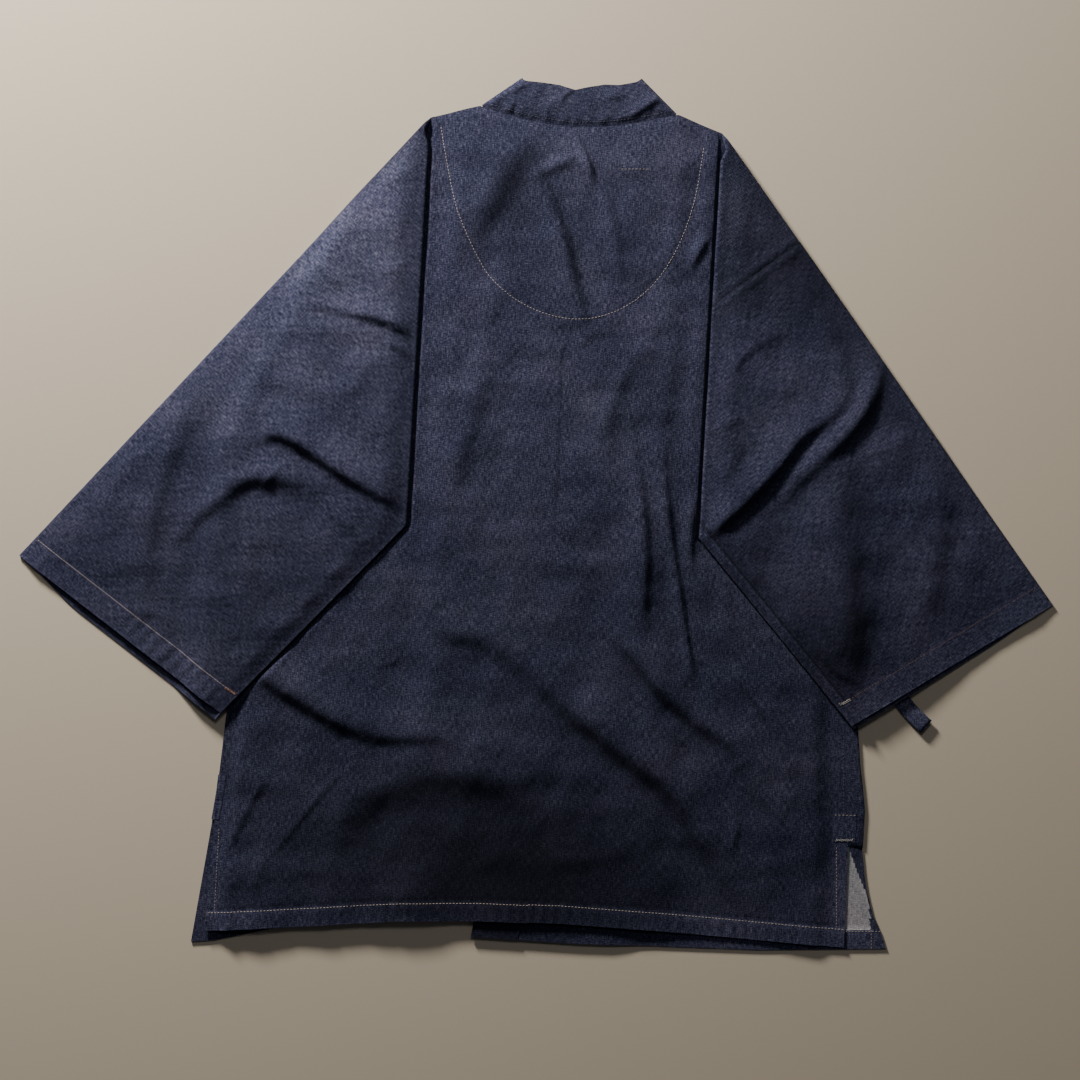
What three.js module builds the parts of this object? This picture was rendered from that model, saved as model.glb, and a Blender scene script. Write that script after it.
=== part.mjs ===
// Denim kimono jacket, laid face down on a flat surface with its sleeves folded back at the shoulders.
// Millimetres, +Z up. X runs across the jacket, +Y points to the collar, and Z = 0 is the surface below.
//
// Each panel is cut flat: u runs outward from the centre back and v up towards the neck. The front and
// back layers then fold together in a Z-pleat about each shoulder point, which swings the sleeve down.
// foldPoint() carries a point of the flat cut to its place in the folded jacket.
import * as THREE from 'three';

// ---- cloth ----
const CLOTH = 1.0; // wall of one layer of denim
const PITCH = 1.5; // middle of one layer to the middle of the next
const SEAM_GAP = 0.3; // clearance where two pieces meet
const BAND_WIDTH = 45; // collar band
const BAND_THICK = 2.0; // the band is denim folded double
const HEM_DEPTH = 19; // turned-up hem
const HEM_EXTRA = 0.5; // how far the hem stands proud of the panel
const TIE = { width: 16, thick: 1.6 };

// ---- the stack of layers ----
const FLOOR_MIDDLE = (PITCH + CLOTH) / 2; // height midway between the front and back layers
const OVERLAP_RISE = 2.3; // the upper front over the lower front's band
const OVERLAP = { flat: 24, fade: 40 }; // how far past the lower front's edge it stays up, then comes down
const BACK_RISE = 3.3; // the back over both fronts
const RISE_HALF_WIDTH = 100; // the back is raised this far each side of the centre
const RISE_FADE = { shoulder: 28, hem: 70, from: -400 }; // and comes down over this width
const FALL_START = 22; // a folded-back sleeve starts to come down this far past the body's edge
const HALF_BEND = Math.PI * PITCH / 2; // cloth taken by half a crease
const TIP_SIMPLE = 10; // within this of the shoulder point the pleat is one plain step
const TIP_FULL = 28; // beyond this it is a full Z
const JACKET_CENTRE = [-10.4, -376.1]; // middle of the laid-out jacket, from the back neck seam

// ---- the two sides, which lie a little differently; u outward and v up from the back neck seam ----
const LEFT = {
  sign: -1,
  shoulder: [136.6, 0.8],
  turn: THREE.MathUtils.degToRad(50.1),
  side: [[1, 286.6], [-330, 284], [-655, 304], [-790, 308]],
  frontSide: [[1, 286.6], [-330, 284], [-655, 304], [-700, 309], [-802, 321]],
  sleeveTop: 713,
  underarm: [[284, -260], [427, -250], [700, -243]],
  cuff: [[1, 713], [-243, 690]],
  cuffSlip: 8,
  hem: [[-20, -764], [45, -765], [122, -769], [218, -780], [310, -790]],
  frontHem: [[-60, -768], [45, -760], [122, -765], [218, -778], [300, -799], [325, -802]],
  frontEdge: { top: 50, shift: 103 },
  sleeveFall: 30,
  lowerEdge: { from: [131, -383], to: [308, -585] },
};
const RIGHT = {
  sign: 1,
  shoulder: [143.2, 1.5],
  turn: THREE.MathUtils.degToRad(51.7),
  side: [[1, 271], [-330, 278], [-673, 300], [-771, 304]],
  frontSide: [[1, 271], [-330, 278], [-440, 286], [-560, 314], [-672, 317], [-770, 342]],
  wrapEnd: -675,
  sleeveTop: 695,
  underarm: [[277, -250], [451, -239], [690, -222]],
  cuff: [[1, 695.4], [-222, 678.7]],
  cuffSlip: 4,
  hem: [[-20, -764], [31, -763], [128, -765], [214, -768], [306, -771]],
  frontHem: [[-60, -781], [47, -782], [129, -780], [225, -778], [345, -770]],
  frontEdge: { top: 58, shift: 111 },
  sleeveFall: 130,
  lowerEdge: { from: [145.5, -389], to: [300, -557] },
};
const NECKLINE = [[-5, -1.2], [0, -1.2], [30, 0.8], [50, 3.8], [70, 8.5]];
const NECK_POINT = { left: [90.2, 14], right: [100, 16.4] };
const COLLAR_TOP = {
  left: [[0, 34.2], [15, 38.9], [30, 41.2], [51.6, 43.5]],
  right: [[0, 34.2], [14, 38.7], [28, 42.4], [42, 43.4], [63.2, 49.4]],
};
const CENTRE_SEAM = [[40, 0], [0, 0], [-90, 7], [-185, 12], [-225, 2], [-330, 5], [-790, 0]];

// ---- the largest folds: a soft ridge (height over 0) or trough along each path, in the jacket's plan ----
const BODY_SWELL = 3.2;
const BODY_FOLDS = [
  { path: [[-39, -48], [-21, -84], [12, -166]], height: 3, width: 16 },
  { path: [[-78, -27], [-34, -120]], height: -2, width: 28 },
  { path: [[103, -203], [79, -245], [78, -284], [97, -336], [112, -401], [140, -518]], height: 5, width: 15 },
  { path: [[92, -363], [84, -468]], height: -4, width: 18 },
  { path: [[67, -489], [116, -540], [185, -588]], height: -4, width: 18 },
  { path: [[-3, -546], [58, -576], [121, -626], [163, -683], [200, -734]], height: -5, width: 20 },
  { path: [[30, -520], [90, -575], [150, -630], [200, -690]], height: 4, width: 18 },
  { path: [[-268, -552], [-186, -591], [-106, -599]], height: -5, width: 20 },
  { path: [[-210, -560], [-120, -560], [-40, -575], [20, -610], [70, -680]], height: 4, width: 24 },
  { path: [[-134, -463], [-73, -492], [-11, -528]], height: -3, width: 20 },
  { path: [[-143, -641], [-12, -633]], height: -4, width: 30 },
  { path: [[-14, -693], [98, -687]], height: -4, width: 26 },
  { path: [[-184, -643], [-234, -715]], height: 4, width: 14 },
  { path: [[-249, -710], [-270, -768]], height: -3, width: 14 },
  { path: [[-274, -669], [-297, -730]], height: 3, width: 12 },
];
const HEM_LIFT = { height: 2, from: -700, over: 30 }; // the back's hem rides over the fronts' hems
const SLEEVE_SWELL = 3.0;
const LEFT_FOLDS = [
  { path: [[-225, -190], [-179, -200], [-150, -207]], height: 3.5, width: 16 },
  { path: [[-269, -310], [-244, -320], [-209, -347], [-150, -375]], height: 5, width: 14 },
  { path: [[-290, -372], [-242, -365], [-190, -392]], height: -3, width: 16 },
  { path: [[-335, -407], [-313, -382], [-295, -358]], height: -3, width: 18 },
  { path: [[-352, -283], [-372, -351], [-380, -409], [-379, -477]], height: -3, width: 26 },
  { path: [[-277, -375], [-281, -510]], height: -2, width: 20 },
];
const RIGHT_FOLDS = [
  { path: [[317, -215], [310, -254], [288, -294], [237, -326], [191, -367], [165, -385]], height: -4, width: 14 },
  { path: [[345, -235], [335, -285], [300, -322], [250, -355], [200, -392]], height: 4.5, width: 15 },
  { path: [[270, -240], [235, -290], [180, -335]], height: 4, width: 18 },
  { path: [[284, -344], [297, -524]], height: -3, width: 18 },
];

// ---- small helpers ----
const clamp = (value, low, high) => Math.min(high, Math.max(low, value));

function smooth(share) {
  const t = clamp(share, 0, 1);
  return t * t * (3 - 2 * t);
}

// The second column of a table read at a value of its first, whichever way the first column runs.
function along(table, value) {
  const rows = table[0][0] > table[table.length - 1][0] ? [...table].reverse() : table;
  const last = rows.length - 1;
  let k = 0;
  while (k < last - 1 && value > rows[k + 1][0]) k += 1;
  const share = clamp((value - rows[k][0]) / (rows[k + 1][0] - rows[k][0]), 0, 1);
  return rows[k][1] + share * (rows[k + 1][1] - rows[k][1]);
}

function spread(from, to, count) {
  return Array.from({ length: count + 1 }, (unused, k) => from + (to - from) * k / count);
}

function pathDistance(path, x, y) {
  let nearest = Infinity;
  for (let k = 0; k + 1 < path.length; k += 1) {
    const [ax, ay] = path[k];
    const [bx, by] = path[k + 1];
    const length2 = (bx - ax) ** 2 + (by - ay) ** 2;
    const t = clamp(((x - ax) * (bx - ax) + (y - ay) * (by - ay)) / length2, 0, 1);
    nearest = Math.min(nearest, Math.hypot(x - ax - t * (bx - ax), y - ay - t * (by - ay)));
  }
  return nearest;
}

function foldHeight(folds, swell, x, y) {
  const total = folds.reduce(
    (sum, fold) => sum + fold.height * Math.exp(-((pathDistance(fold.path, x, y) / fold.width) ** 2)),
    swell,
  );
  return Math.max(0, total);
}

// ---- outlines of the flat cut ----
const neckPoint = (side) => (side === LEFT ? NECK_POINT.left : NECK_POINT.right);

// Neckline, shoulder and sleeve top in one line.
function topEdge(side, u) {
  return along([...NECKLINE, neckPoint(side), side.shoulder, [side.sleeveTop, side.shoulder[1]]], u);
}

function centreSeam(side, v) {
  return side.sign * along(CENTRE_SEAM, v) + SEAM_GAP / 2;
}

// The open edge of a front, and the seam where the collar band meets it.
function frontEdge(side, v) {
  return side.frontEdge.top - side.frontEdge.shift * (20 - v) / 800;
}

function bandSeam(side, v) {
  return frontEdge(side, Math.min(v, -30)) + BAND_WIDTH;
}

// ---- heights of the stack; x and y are in the jacket's plan ----
function backRise(x, y) {
  const lower = smooth((RISE_FADE.from - y) / 380);
  const fade = RISE_FADE.shoulder + (RISE_FADE.hem - RISE_FADE.shoulder) * lower;
  return BACK_RISE * (1 - smooth((Math.abs(x) - RISE_HALF_WIDTH) / fade));
}

// The right front lies over the left front's band and tie, then comes down to the surface.
function frontRise(side, x, y) {
  if (side === LEFT) return 0;
  const beyond = x + frontEdge(LEFT, y);
  return OVERLAP_RISE * (1 - smooth((beyond - OVERLAP.flat) / OVERLAP.fade));
}

// How much of its height a folded-back sleeve keeps where it runs out past the body's edge.
function sleeveFall(side, u, v) {
  const [pu, pv] = side.shoulder;
  const pleatEdge = pu + (pv - v) * Math.tan(side.turn / 2);
  const edge = Math.min(pleatEdge, along(side.side, v));
  return 1 - smooth((u - edge - FALL_START) / side.sleeveFall);
}

// ---- the Z-pleat ----
function pleatPoint(side, r, angle) {
  const [pu, pv] = side.shoulder;
  const half = side.turn / 2;
  const across = r * Math.sin(angle - half);
  if (across < HALF_BEND && angle < 1.5 * half) {
    const bend = (Math.max(across, -HALF_BEND) + HALF_BEND) / PITCH;
    const reach = Math.min(across, -HALF_BEND) + PITCH * Math.sin(bend);
    const down = r * Math.cos(angle - half);
    return [
      pu + down * Math.sin(half) + reach * Math.cos(half),
      pv - down * Math.cos(half) + reach * Math.sin(half),
      PITCH * (1 - Math.cos(bend)),
    ];
  }
  const across2 = r * Math.sin(angle - side.turn);
  const down2 = r * Math.cos(angle - side.turn);
  const bend2 = clamp((across2 + HALF_BEND) / PITCH, 0, Math.PI);
  const flat = Math.max(Math.abs(across2), HALF_BEND);
  return [pu + flat - PITCH * Math.sin(bend2), pv - down2, PITCH * (3 - Math.cos(bend2))];
}

// From the flat cut to the folded jacket: [u, v, height midway between the front and back layers].
function foldPoint(side, u, v) {
  const [pu, pv] = side.shoulder;
  const r = Math.hypot(u - pu, v - pv);
  if (r < 1e-6) return [u, v, FLOOR_MIDDLE];
  const angle = Math.atan2(u - pu, pv - v);
  const start = side.turn / 2 - Math.min(HALF_BEND / r, 0.45 * side.turn / 2);
  if (angle <= start || angle > 0.75 * Math.PI) return [u, v, FLOOR_MIDDLE];
  const share = (angle - start) / (Math.PI / 2 - start);
  const swung = start + share * (Math.PI / 2 - side.turn - start);
  const step = [
    pu + r * Math.sin(swung),
    pv - r * Math.cos(swung),
    4 * PITCH * smooth(share / 0.6) * smooth(r / TIP_SIMPLE),
  ];
  const pleat = pleatPoint(side, r, angle);
  const blend = smooth((r - TIP_SIMPLE) / (TIP_FULL - TIP_SIMPLE));
  const [fu, fv, height] = step.map((value, k) => value + blend * (pleat[k] - value));
  return [fu, fv, FLOOR_MIDDLE + height * sleeveFall(side, fu, fv)];
}

function foldNormal(side, u, v) {
  const step = 0.05;
  const ahead = new THREE.Vector3(...foldPoint(side, u + step, v));
  const behind = new THREE.Vector3(...foldPoint(side, u - step, v));
  const above = new THREE.Vector3(...foldPoint(side, u, v + step));
  const below = new THREE.Vector3(...foldPoint(side, u, v - step));
  return ahead.sub(behind).cross(above.sub(below)).normalize();
}

function acrossSecondCrease(side, u, v) {
  const [pu, pv] = side.shoulder;
  return (u - pu) * Math.cos(side.turn) - (pv - v) * Math.sin(side.turn);
}

// ---- softness of the uppermost layer, never below the plain stack ----
function bodyLift(side, u, v) {
  const x = side.sign * u;
  const { from, to } = side.lowerEdge;
  const length = Math.hypot(to[0] - from[0], to[1] - from[1]);
  const belowSleeve = ((to[0] - from[0]) * (from[1] - v) + (to[1] - from[1]) * (u - from[0])) / length;
  const clear = smooth((Math.max(from[0] - 20 - u, belowSleeve - 14)) / 32);
  const fromSide = smooth((along(side.side, v) - u - 18) / 24);
  const fromTop = smooth((topEdge(side, u) - v) / 25);
  const hem = HEM_LIFT.height * smooth((HEM_LIFT.from - v) / HEM_LIFT.over);
  return hem + foldHeight(BODY_FOLDS, BODY_SWELL, x, v) * clear * fromSide * fromTop;
}

function sleeveLift(side, u, v) {
  const folds = side === LEFT ? LEFT_FOLDS : RIGHT_FOLDS;
  const [fu, fv] = foldPoint(side, u, v);
  const fromCrease = smooth((acrossSecondCrease(side, u, v) - 4) / 30);
  const fromTop = smooth((side.shoulder[1] - v) / 25);
  const fromUnderarm = smooth((v - along(side.underarm, u)) / 25);
  return foldHeight(folds, SLEEVE_SWELL, side.sign * fu, fv) * fromCrease * fromTop * fromUnderarm;
}

// The layers hidden inside the pleat have none.
function topLift(side, u, v) {
  const [pu, pv] = side.shoulder;
  const swung = acrossSecondCrease(side, u, v) > 0 && u > pu;
  const hidden = v > side.lowerEdge.from[1] && u - pu > (pv - v) * Math.tan(side.turn / 2) - 2 * HALF_BEND;
  if (swung) return sleeveLift(side, u, v);
  return hidden ? 0 : bodyLift(side, u, v);
}

// ---- flat cut as a grid: columns run down from the top edge, with close stations round each crease ----
function columnStations(side, cut, columnU) {
  const [pu, pv] = side.shoulder;
  const settle = (next, first) => {
    let v = first;
    for (let k = 0; k < 8; k += 1) v = next(columnU(v));
    return v;
  };
  const top = settle(cut.top, pv);
  const bottom = settle(cut.bottom, -400);
  const crossing = (angle) => settle((u) => Math.max(pv - (u - pu) / Math.tan(angle), -800), pv);
  const upper = crossing(side.turn);
  const lower = cut.rows.body ? crossing(side.turn / 2) : bottom;
  const room = cut.rows.body ? Math.max(0, 0.45 * (upper - lower)) : Infinity;
  const upperHalf = Math.min(HALF_BEND / Math.sin(side.turn), room);
  const lowerHalf = Math.min(HALF_BEND / Math.sin(side.turn / 2), room);
  const stations = [
    ...spread(Math.max(top, upper + upperHalf), upper + upperHalf, cut.rows.swung),
    ...spread(upper + upperHalf, upper - upperHalf, 4).slice(1),
  ];
  if (cut.rows.body) {
    stations.push(...spread(upper - upperHalf, lower + lowerHalf, cut.rows.hidden).slice(1));
    stations.push(...spread(lower + lowerHalf, lower - lowerHalf, 4).slice(1));
    const start = Math.min(top, lower - lowerHalf);
    stations.push(...spread(start, bottom + HEM_DEPTH, cut.rows.body).slice(1));
    stations.push(bottom + HEM_DEPTH - 1, bottom + HEM_DEPTH / 2, bottom);
  } else {
    stations.push(...spread(Math.min(top, upper - upperHalf), bottom, cut.rows.hidden).slice(1));
  }
  if (!cut.rows.body && upper + upperHalf < bottom) {
    const full = spread(top, bottom, cut.rows.swung);
    return stations.map((unused, k) => full[Math.min(k, cut.rows.swung)]);
  }
  return stations.map((v) => clamp(v, bottom, top));
}

// Joins a grid of flat points into triangles, leaving out the cells that have closed up.
function gridSurface(columns) {
  const points = [];
  const index = new Map();
  const idOf = (point) => {
    const key = point.map((value) => value.toFixed(3)).join(' ');
    if (!index.has(key)) {
      index.set(key, points.length);
      points.push(point);
    }
    return index.get(key);
  };
  const ids = columns.map((column) => column.map(idOf));
  const triangles = [];
  const add = (...corners) => {
    if (new Set(corners).size === 3) triangles.push(corners);
  };
  for (let i = 0; i + 1 < ids.length; i += 1) {
    for (let j = 0; j + 1 < ids[i].length; j += 1) {
      const [a, b, c, d] = [ids[i][j], ids[i][j + 1], ids[i + 1][j + 1], ids[i + 1][j]];
      add(a, b, c);
      add(a, c, d);
    }
  }
  return { points, triangles };
}

function boundaryEdges(triangles) {
  const edges = new Map();
  triangles.forEach((corners) => {
    corners.forEach((a, k) => {
      const b = corners[(k + 1) % 3];
      if (!edges.delete(`${b} ${a}`)) edges.set(`${a} ${b}`, [a, b]);
    });
  });
  return [...edges.values()];
}

function meshFrom(name, side, places, faces, material) {
  const flip = side.sign < 0;
  const positions = faces.flatMap((face) => {
    const corners = flip ? [face[0], face[2], face[1]] : face;
    return corners.flatMap((k) => [places[k].x * side.sign, places[k].y, places[k].z]);
  });
  const geometry = new THREE.BufferGeometry();
  geometry.setAttribute('position', new THREE.Float32BufferAttribute(positions, 3));
  geometry.computeVertexNormals();
  const mesh = new THREE.Mesh(geometry, material);
  mesh.name = name;
  return mesh;
}

const quad = (a, b, c, d) => [[a, b, c], [a, c, d]];

// A wall: the surface moved up and down its normals, with a rim round its boundary.
function wallMesh(name, side, surface, upperAt, lowerAt, material) {
  const count = surface.points.length;
  const places = [...surface.points.map(upperAt), ...surface.points.map(lowerAt)];
  const faces = surface.triangles.flatMap(([a, b, c]) => [[a, b, c], [c + count, b + count, a + count]]);
  boundaryEdges(surface.triangles).forEach(([a, b]) => {
    faces.push(...quad(a, a + count, b + count, b));
  });
  return meshFrom(name, side, places, faces, material);
}

// ---- body panels ----
function panelSurface(side, cut) {
  const pu = side.shoulder[0];
  const inner = cut.innerShares.map((share) => (v) => cut.inner(v) + (pu - cut.inner(v)) * share);
  const outer = cut.outerShares.map((share) => (v) => pu + (cut.outer(v) - pu) * share);
  const columns = [...inner, ...outer].map((columnU) => (
    columnStations(side, cut, columnU).map((v) => [columnU(v), v])
  ));
  const lastStations = columns[columns.length - 1].map(([, v]) => v);
  const wrapped = cut.wrap.map((columnU) => lastStations.map((v) => [columnU(v), v]));
  return gridSurface([...columns, ...wrapped]);
}

const OUTER_SHARES = [0.03, 0.07, 0.13, 0.22, 0.36, 0.54, 0.73, 0.89, 1];

function layerPlace(side, [u, v], offset, rise) {
  const [fu, fv, height] = foldPoint(side, u, v);
  const normal = foldNormal(side, u, v);
  return new THREE.Vector3(fu, fv, height + rise).addScaledVector(normal, offset);
}

function hemShare(bottom, [u, v]) {
  return v < bottom(u) + HEM_DEPTH - 0.5 ? 1 : 0;
}

function backPanel(name, side) {
  const cut = {
    inner: (v) => centreSeam(side, v),
    outer: (v) => along(side.side, v),
    top: (u) => topEdge(side, u),
    bottom: (u) => along(side.hem, u),
    innerShares: [0, 0.17, 0.34, 0.5, 0.66, 0.76, 0.88, 1],
    outerShares: OUTER_SHARES,
    wrap: [],
    rows: { swung: 4, hidden: 3, body: 26 },
  };
  const rise = ([u, v]) => {
    const [fu, fv] = foldPoint(side, u, v);
    return backRise(side.sign * fu, fv) + topLift(side, u, v);
  };
  const at = (point, offset) => layerPlace(side, point, offset, rise(point));
  return wallMesh(
    name,
    side,
    panelSurface(side, cut),
    (point) => at(point, (PITCH + CLOTH) / 2 + HEM_EXTRA * hemShare(cut.bottom, point)),
    (point) => at(point, (PITCH - CLOTH) / 2),
    denim('#1c2438'),
  );
}

// Near the shoulder line the front rises to meet the back.
const SHOULDER_RISE = 30;

function frontHeight(side, u, v) {
  const x = side.sign * u;
  const atShoulder = backRise(x, v) * (1 - smooth((topEdge(side, u) - v) / SHOULDER_RISE));
  return Math.max(frontRise(side, x, v), u < side.shoulder[0] ? atShoulder : 0);
}

// Above its slit the right front runs on past its side, turns up and over, and meets the back's edge.
const WRAP_RADIUS = PITCH / 2;

function wrapLength(side, v) {
  const width = along(side.frontSide, v) - along(side.side, v) - SEAM_GAP;
  return side.wrapEnd && width > 4 && v > side.wrapEnd ? width + Math.PI * WRAP_RADIUS : 0;
}

function wrapColumns(side) {
  if (!side.wrapEnd) return [];
  const bend = (v) => Math.min(wrapLength(side, v), Math.PI * WRAP_RADIUS);
  const edge = (v) => along(side.frontSide, v);
  const turning = [0.25, 0.5, 0.75, 1].map((share) => (v) => edge(v) + share * bend(v));
  const over = [0.5, 1].map((share) => (v) => (
    edge(v) + bend(v) + share * (wrapLength(side, v) - bend(v))
  ));
  return [...turning, ...over];
}

function wrapPlace(side, [u, v], offset) {
  const fold = along(side.frontSide, v);
  const turn = Math.min((u - fold) / WRAP_RADIUS, Math.PI);
  const over = Math.max(u - fold - Math.PI * WRAP_RADIUS, 0);
  const radius = WRAP_RADIUS - offset;
  return new THREE.Vector3(fold + radius * Math.sin(turn) - over, v, FLOOR_MIDDLE - radius * Math.cos(turn));
}

function frontPanel(name, side) {
  const cut = {
    inner: (v) => bandSeam(side, v) + SEAM_GAP + 3 * smooth((v + 12) / 20),
    outer: (v) => along(side.frontSide, v),
    top: (u) => topEdge(side, u),
    bottom: (u) => along(side.frontHem, u),
    innerShares: [0, 0.33, 0.66, 1],
    outerShares: OUTER_SHARES,
    wrap: wrapColumns(side),
    rows: { swung: 4, hidden: 3, body: 17 },
  };
  const at = (point, offset) => {
    const past = point[0] > along(side.frontSide, point[1]) + 0.01;
    if (past) return wrapPlace(side, point, offset);
    return layerPlace(side, point, offset - PITCH / 2, frontHeight(side, ...point));
  };
  return wallMesh(
    name,
    side,
    panelSurface(side, cut),
    (point) => at(point, CLOTH / 2 + HEM_EXTRA * 0.8 * hemShare(cut.bottom, point)),
    (point) => at(point, -CLOTH / 2),
    denim('#1a2235'),
  );
}

// ---- sleeves: one flattened tube each, joined along its top and underarm edges ----
function sleeveSurface(side, rows) {
  const inner = (v) => along(side.side, v) + SEAM_GAP;
  const outer = (v) => along(side.cuff, v);
  const cut = { top: () => side.shoulder[1], bottom: (u) => along(side.underarm, u), rows };
  const shares = [...spread(0, 0.35, 7), ...spread(0.35, 1, 11).slice(1)];
  const columns = shares.map((share) => {
    const columnU = (v) => inner(v) + (outer(v) - inner(v)) * share;
    return columnStations(side, cut, columnU).map((v) => [columnU(v), v]);
  });
  return gridSurface(columns);
}

function sleeve(name, side) {
  const surface = sleeveSurface(side, { swung: 8, hidden: 3, body: 0 });
  const count = surface.points.length;
  const isTop = ([, v]) => Math.abs(v - side.shoulder[1]) < 0.02;
  const isUnderarm = ([u, v]) => Math.abs(v - along(side.underarm, u)) < 0.02;
  const inset = 1.3 * CLOTH;
  const bulge = 0.6 * CLOTH;
  const inward = ([u, v]) => [u, v - (isTop([u, v]) ? inset : 0) + (isUnderarm([u, v]) ? inset : 0)];
  const outward = ([u, v]) => [u, v + (isTop([u, v]) ? bulge : 0) - (isUnderarm([u, v]) ? bulge : 0)];
  const slip = ([u, v]) => (
    side.cuffSlip * smooth(1 - (along(side.cuff, v) - u) / 60) * smooth((side.shoulder[1] - v) / 80)
  );
  const along3 = new THREE.Vector3(Math.cos(side.turn), -Math.sin(side.turn), 0);
  const backAt = (point, offset) => layerPlace(side, point, offset, topLift(side, ...point));
  const frontAt = (point, offset) => (
    layerPlace(side, point, -offset, 0).addScaledVector(along3, slip(point))
  );
  const outerGap = (PITCH + CLOTH) / 2;
  const innerGap = (PITCH - CLOTH) / 2;
  const places = [
    ...surface.points.map((point) => backAt(point, outerGap)),
    ...surface.points.map((point) => backAt(inward(point), innerGap)),
    ...surface.points.map((point) => frontAt(inward(point), innerGap)),
    ...surface.points.map((point) => frontAt(point, outerGap)),
    ...surface.points.map((point) => frontAt(outward(point), 0)),
  ];
  const [, backIn, frontIn, frontOut, fold] = [0, 1, 2, 3, 4].map((layer) => layer * count);
  const faces = surface.triangles.flatMap(([a, b, c]) => [
    [a, b, c],
    [c + backIn, b + backIn, a + backIn],
    [a + frontIn, b + frontIn, c + frontIn],
    [c + frontOut, b + frontOut, a + frontOut],
  ]);
  const edges = boundaryEdges(surface.triangles);
  const points = surface.points;
  const joined = ([a, b]) => (
    (isTop(points[a]) && isTop(points[b])) || (isUnderarm(points[a]) && isUnderarm(points[b]))
  );
  edges.forEach(([a, b]) => {
    if (joined([a, b])) {
      faces.push(...quad(a, a + fold, b + fold, b));
      faces.push(...quad(a + fold, a + frontOut, b + frontOut, b + fold));
      faces.push(...quad(a + backIn, b + backIn, b + frontIn, a + frontIn));
    } else {
      faces.push(...quad(a, a + backIn, b + backIn, b));
      faces.push(...quad(a + frontIn, a + frontOut, b + frontOut, b + frontIn));
    }
  });
  edges.forEach((edge) => {
    const next = edges.find(([a]) => a === edge[1]);
    if (joined(edge) === joined(next)) return;
    const k = edge[1];
    const ring = [k, k + fold, k + frontOut, k + frontIn, k + backIn];
    if (!joined(edge)) ring.reverse();
    const from = ring.indexOf(k + fold);
    const order = [0, 1, 2, 3, 4].map((step) => ring[(from + step) % 5]);
    faces.push([order[0], order[1], order[2]], [order[0], order[2], order[3]], [order[0], order[3], order[4]]);
  });
  return meshFrom(name, side, places, faces, denim('#1d2539'));
}

// ---- collar: a doubled band, standing up at the back neck and folded over at each side of it ----
function collarRows(side) {
  const top = side === LEFT ? COLLAR_TOP.left : COLLAR_TOP.right;
  const foldTop = top[top.length - 1];
  const foldFoot = neckPoint(side);
  const line = new THREE.Vector3(foldFoot[0] - foldTop[0], foldFoot[1] - foldTop[1], 0).normalize();
  const out = new THREE.Vector3(-line.y, line.x, 0);
  const backMiddle = FLOOR_MIDDLE + PITCH / 2 + BACK_RISE;
  const frontMiddle = BAND_THICK / 2;
  const radius = (backMiddle - frontMiddle) / 2;
  const setBack = radius + BAND_THICK / 2;
  const footU = foldFoot[0] - setBack * 1.2;
  const foot = new THREE.Vector3(footU, topEdge(side, footU) + SEAM_GAP, 0);
  const head = new THREE.Vector3(foldTop[0], foldTop[1], 0).addScaledVector(out, -setBack);
  const rows = [];
  spread(0, 0.9, 4).forEach((share) => {
    const seamU = share * foot.x + SEAM_GAP / 2 * (1 - share);
    const headU = share * head.x + SEAM_GAP / 2 * (1 - share);
    rows.push({
      foot: [seamU, topEdge(side, seamU) + SEAM_GAP, backMiddle],
      head: [headU, along(top, headU) - 3 * share, backMiddle],
      normal: [0, 0, 1],
    });
  });
  spread(0, Math.PI, 6).forEach((angle) => {
    const reach = radius * Math.sin(angle);
    const height = frontMiddle + radius * (1 + Math.cos(angle));
    rows.push({
      foot: [foot.x + out.x * reach, foot.y + out.y * reach, height],
      head: [head.x + out.x * reach, head.y + out.y * reach, height],
      normal: [out.x * Math.sin(angle), out.y * Math.sin(angle), Math.cos(angle)],
    });
  });
  const bottom = (u) => along(side.frontHem, u);
  const levels = [[-25, 8], [-55, -34], [-90, -80], ...spread(-130, -740, 14).map((v) => [v, v])];
  levels.forEach(([seamV, edgeV]) => {
    rows.push(flatBandRow(side, seamV, edgeV, frontMiddle));
  });
  rows.push(flatBandRow(side, bottom(bandSeam(side, -780)), bottom(frontEdge(side, -780)), frontMiddle));
  return rows;
}

function flatBandRow(side, seamV, edgeV, height) {
  return {
    foot: [bandSeam(side, seamV), seamV, height],
    head: [frontEdge(side, edgeV), edgeV, height],
    normal: [0, 0, -1],
  };
}

function collar(name, side) {
  const columns = collarRows(side).map((row) => spread(1, 0, 3).map((share) => {
    const mix = (k) => row.foot[k] + (row.head[k] - row.foot[k]) * share;
    const place = new THREE.Vector3(mix(0), mix(1), mix(2));
    if (row.normal[2] < 0) place.z += frontRise(side, side.sign * place.x, place.y);
    return [place.x, place.y, place.z, ...row.normal];
  }));
  const moved = (offset) => ([x, y, z, nx, ny, nz]) => (
    new THREE.Vector3(x + nx * offset, y + ny * offset, z + nz * offset)
  );
  return wallMesh(
    name,
    side,
    gridSurface(columns),
    moved(BAND_THICK / 2),
    moved(-BAND_THICK / 2),
    denim('#1b2336'),
  );
}

// ---- ties: flat tapes lying on the surface, from the side seam and from the front edge ----
function tie(name, side, curve) {
  const steps = spread(0, 1, 12);
  const columns = steps.map((t) => {
    const middle = curve.getPoint(t);
    const ahead = curve.getTangent(t);
    const half = TIE.width / 2;
    return [1, -1].map((edge) => [middle.x - edge * ahead.y * half, middle.y + edge * ahead.x * half]);
  });
  const at = (height) => ([x, y]) => new THREE.Vector3(x, y, height);
  return wallMesh(name, side, gridSurface(columns), at(TIE.thick), at(0), denim('#1a2134'));
}

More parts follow.
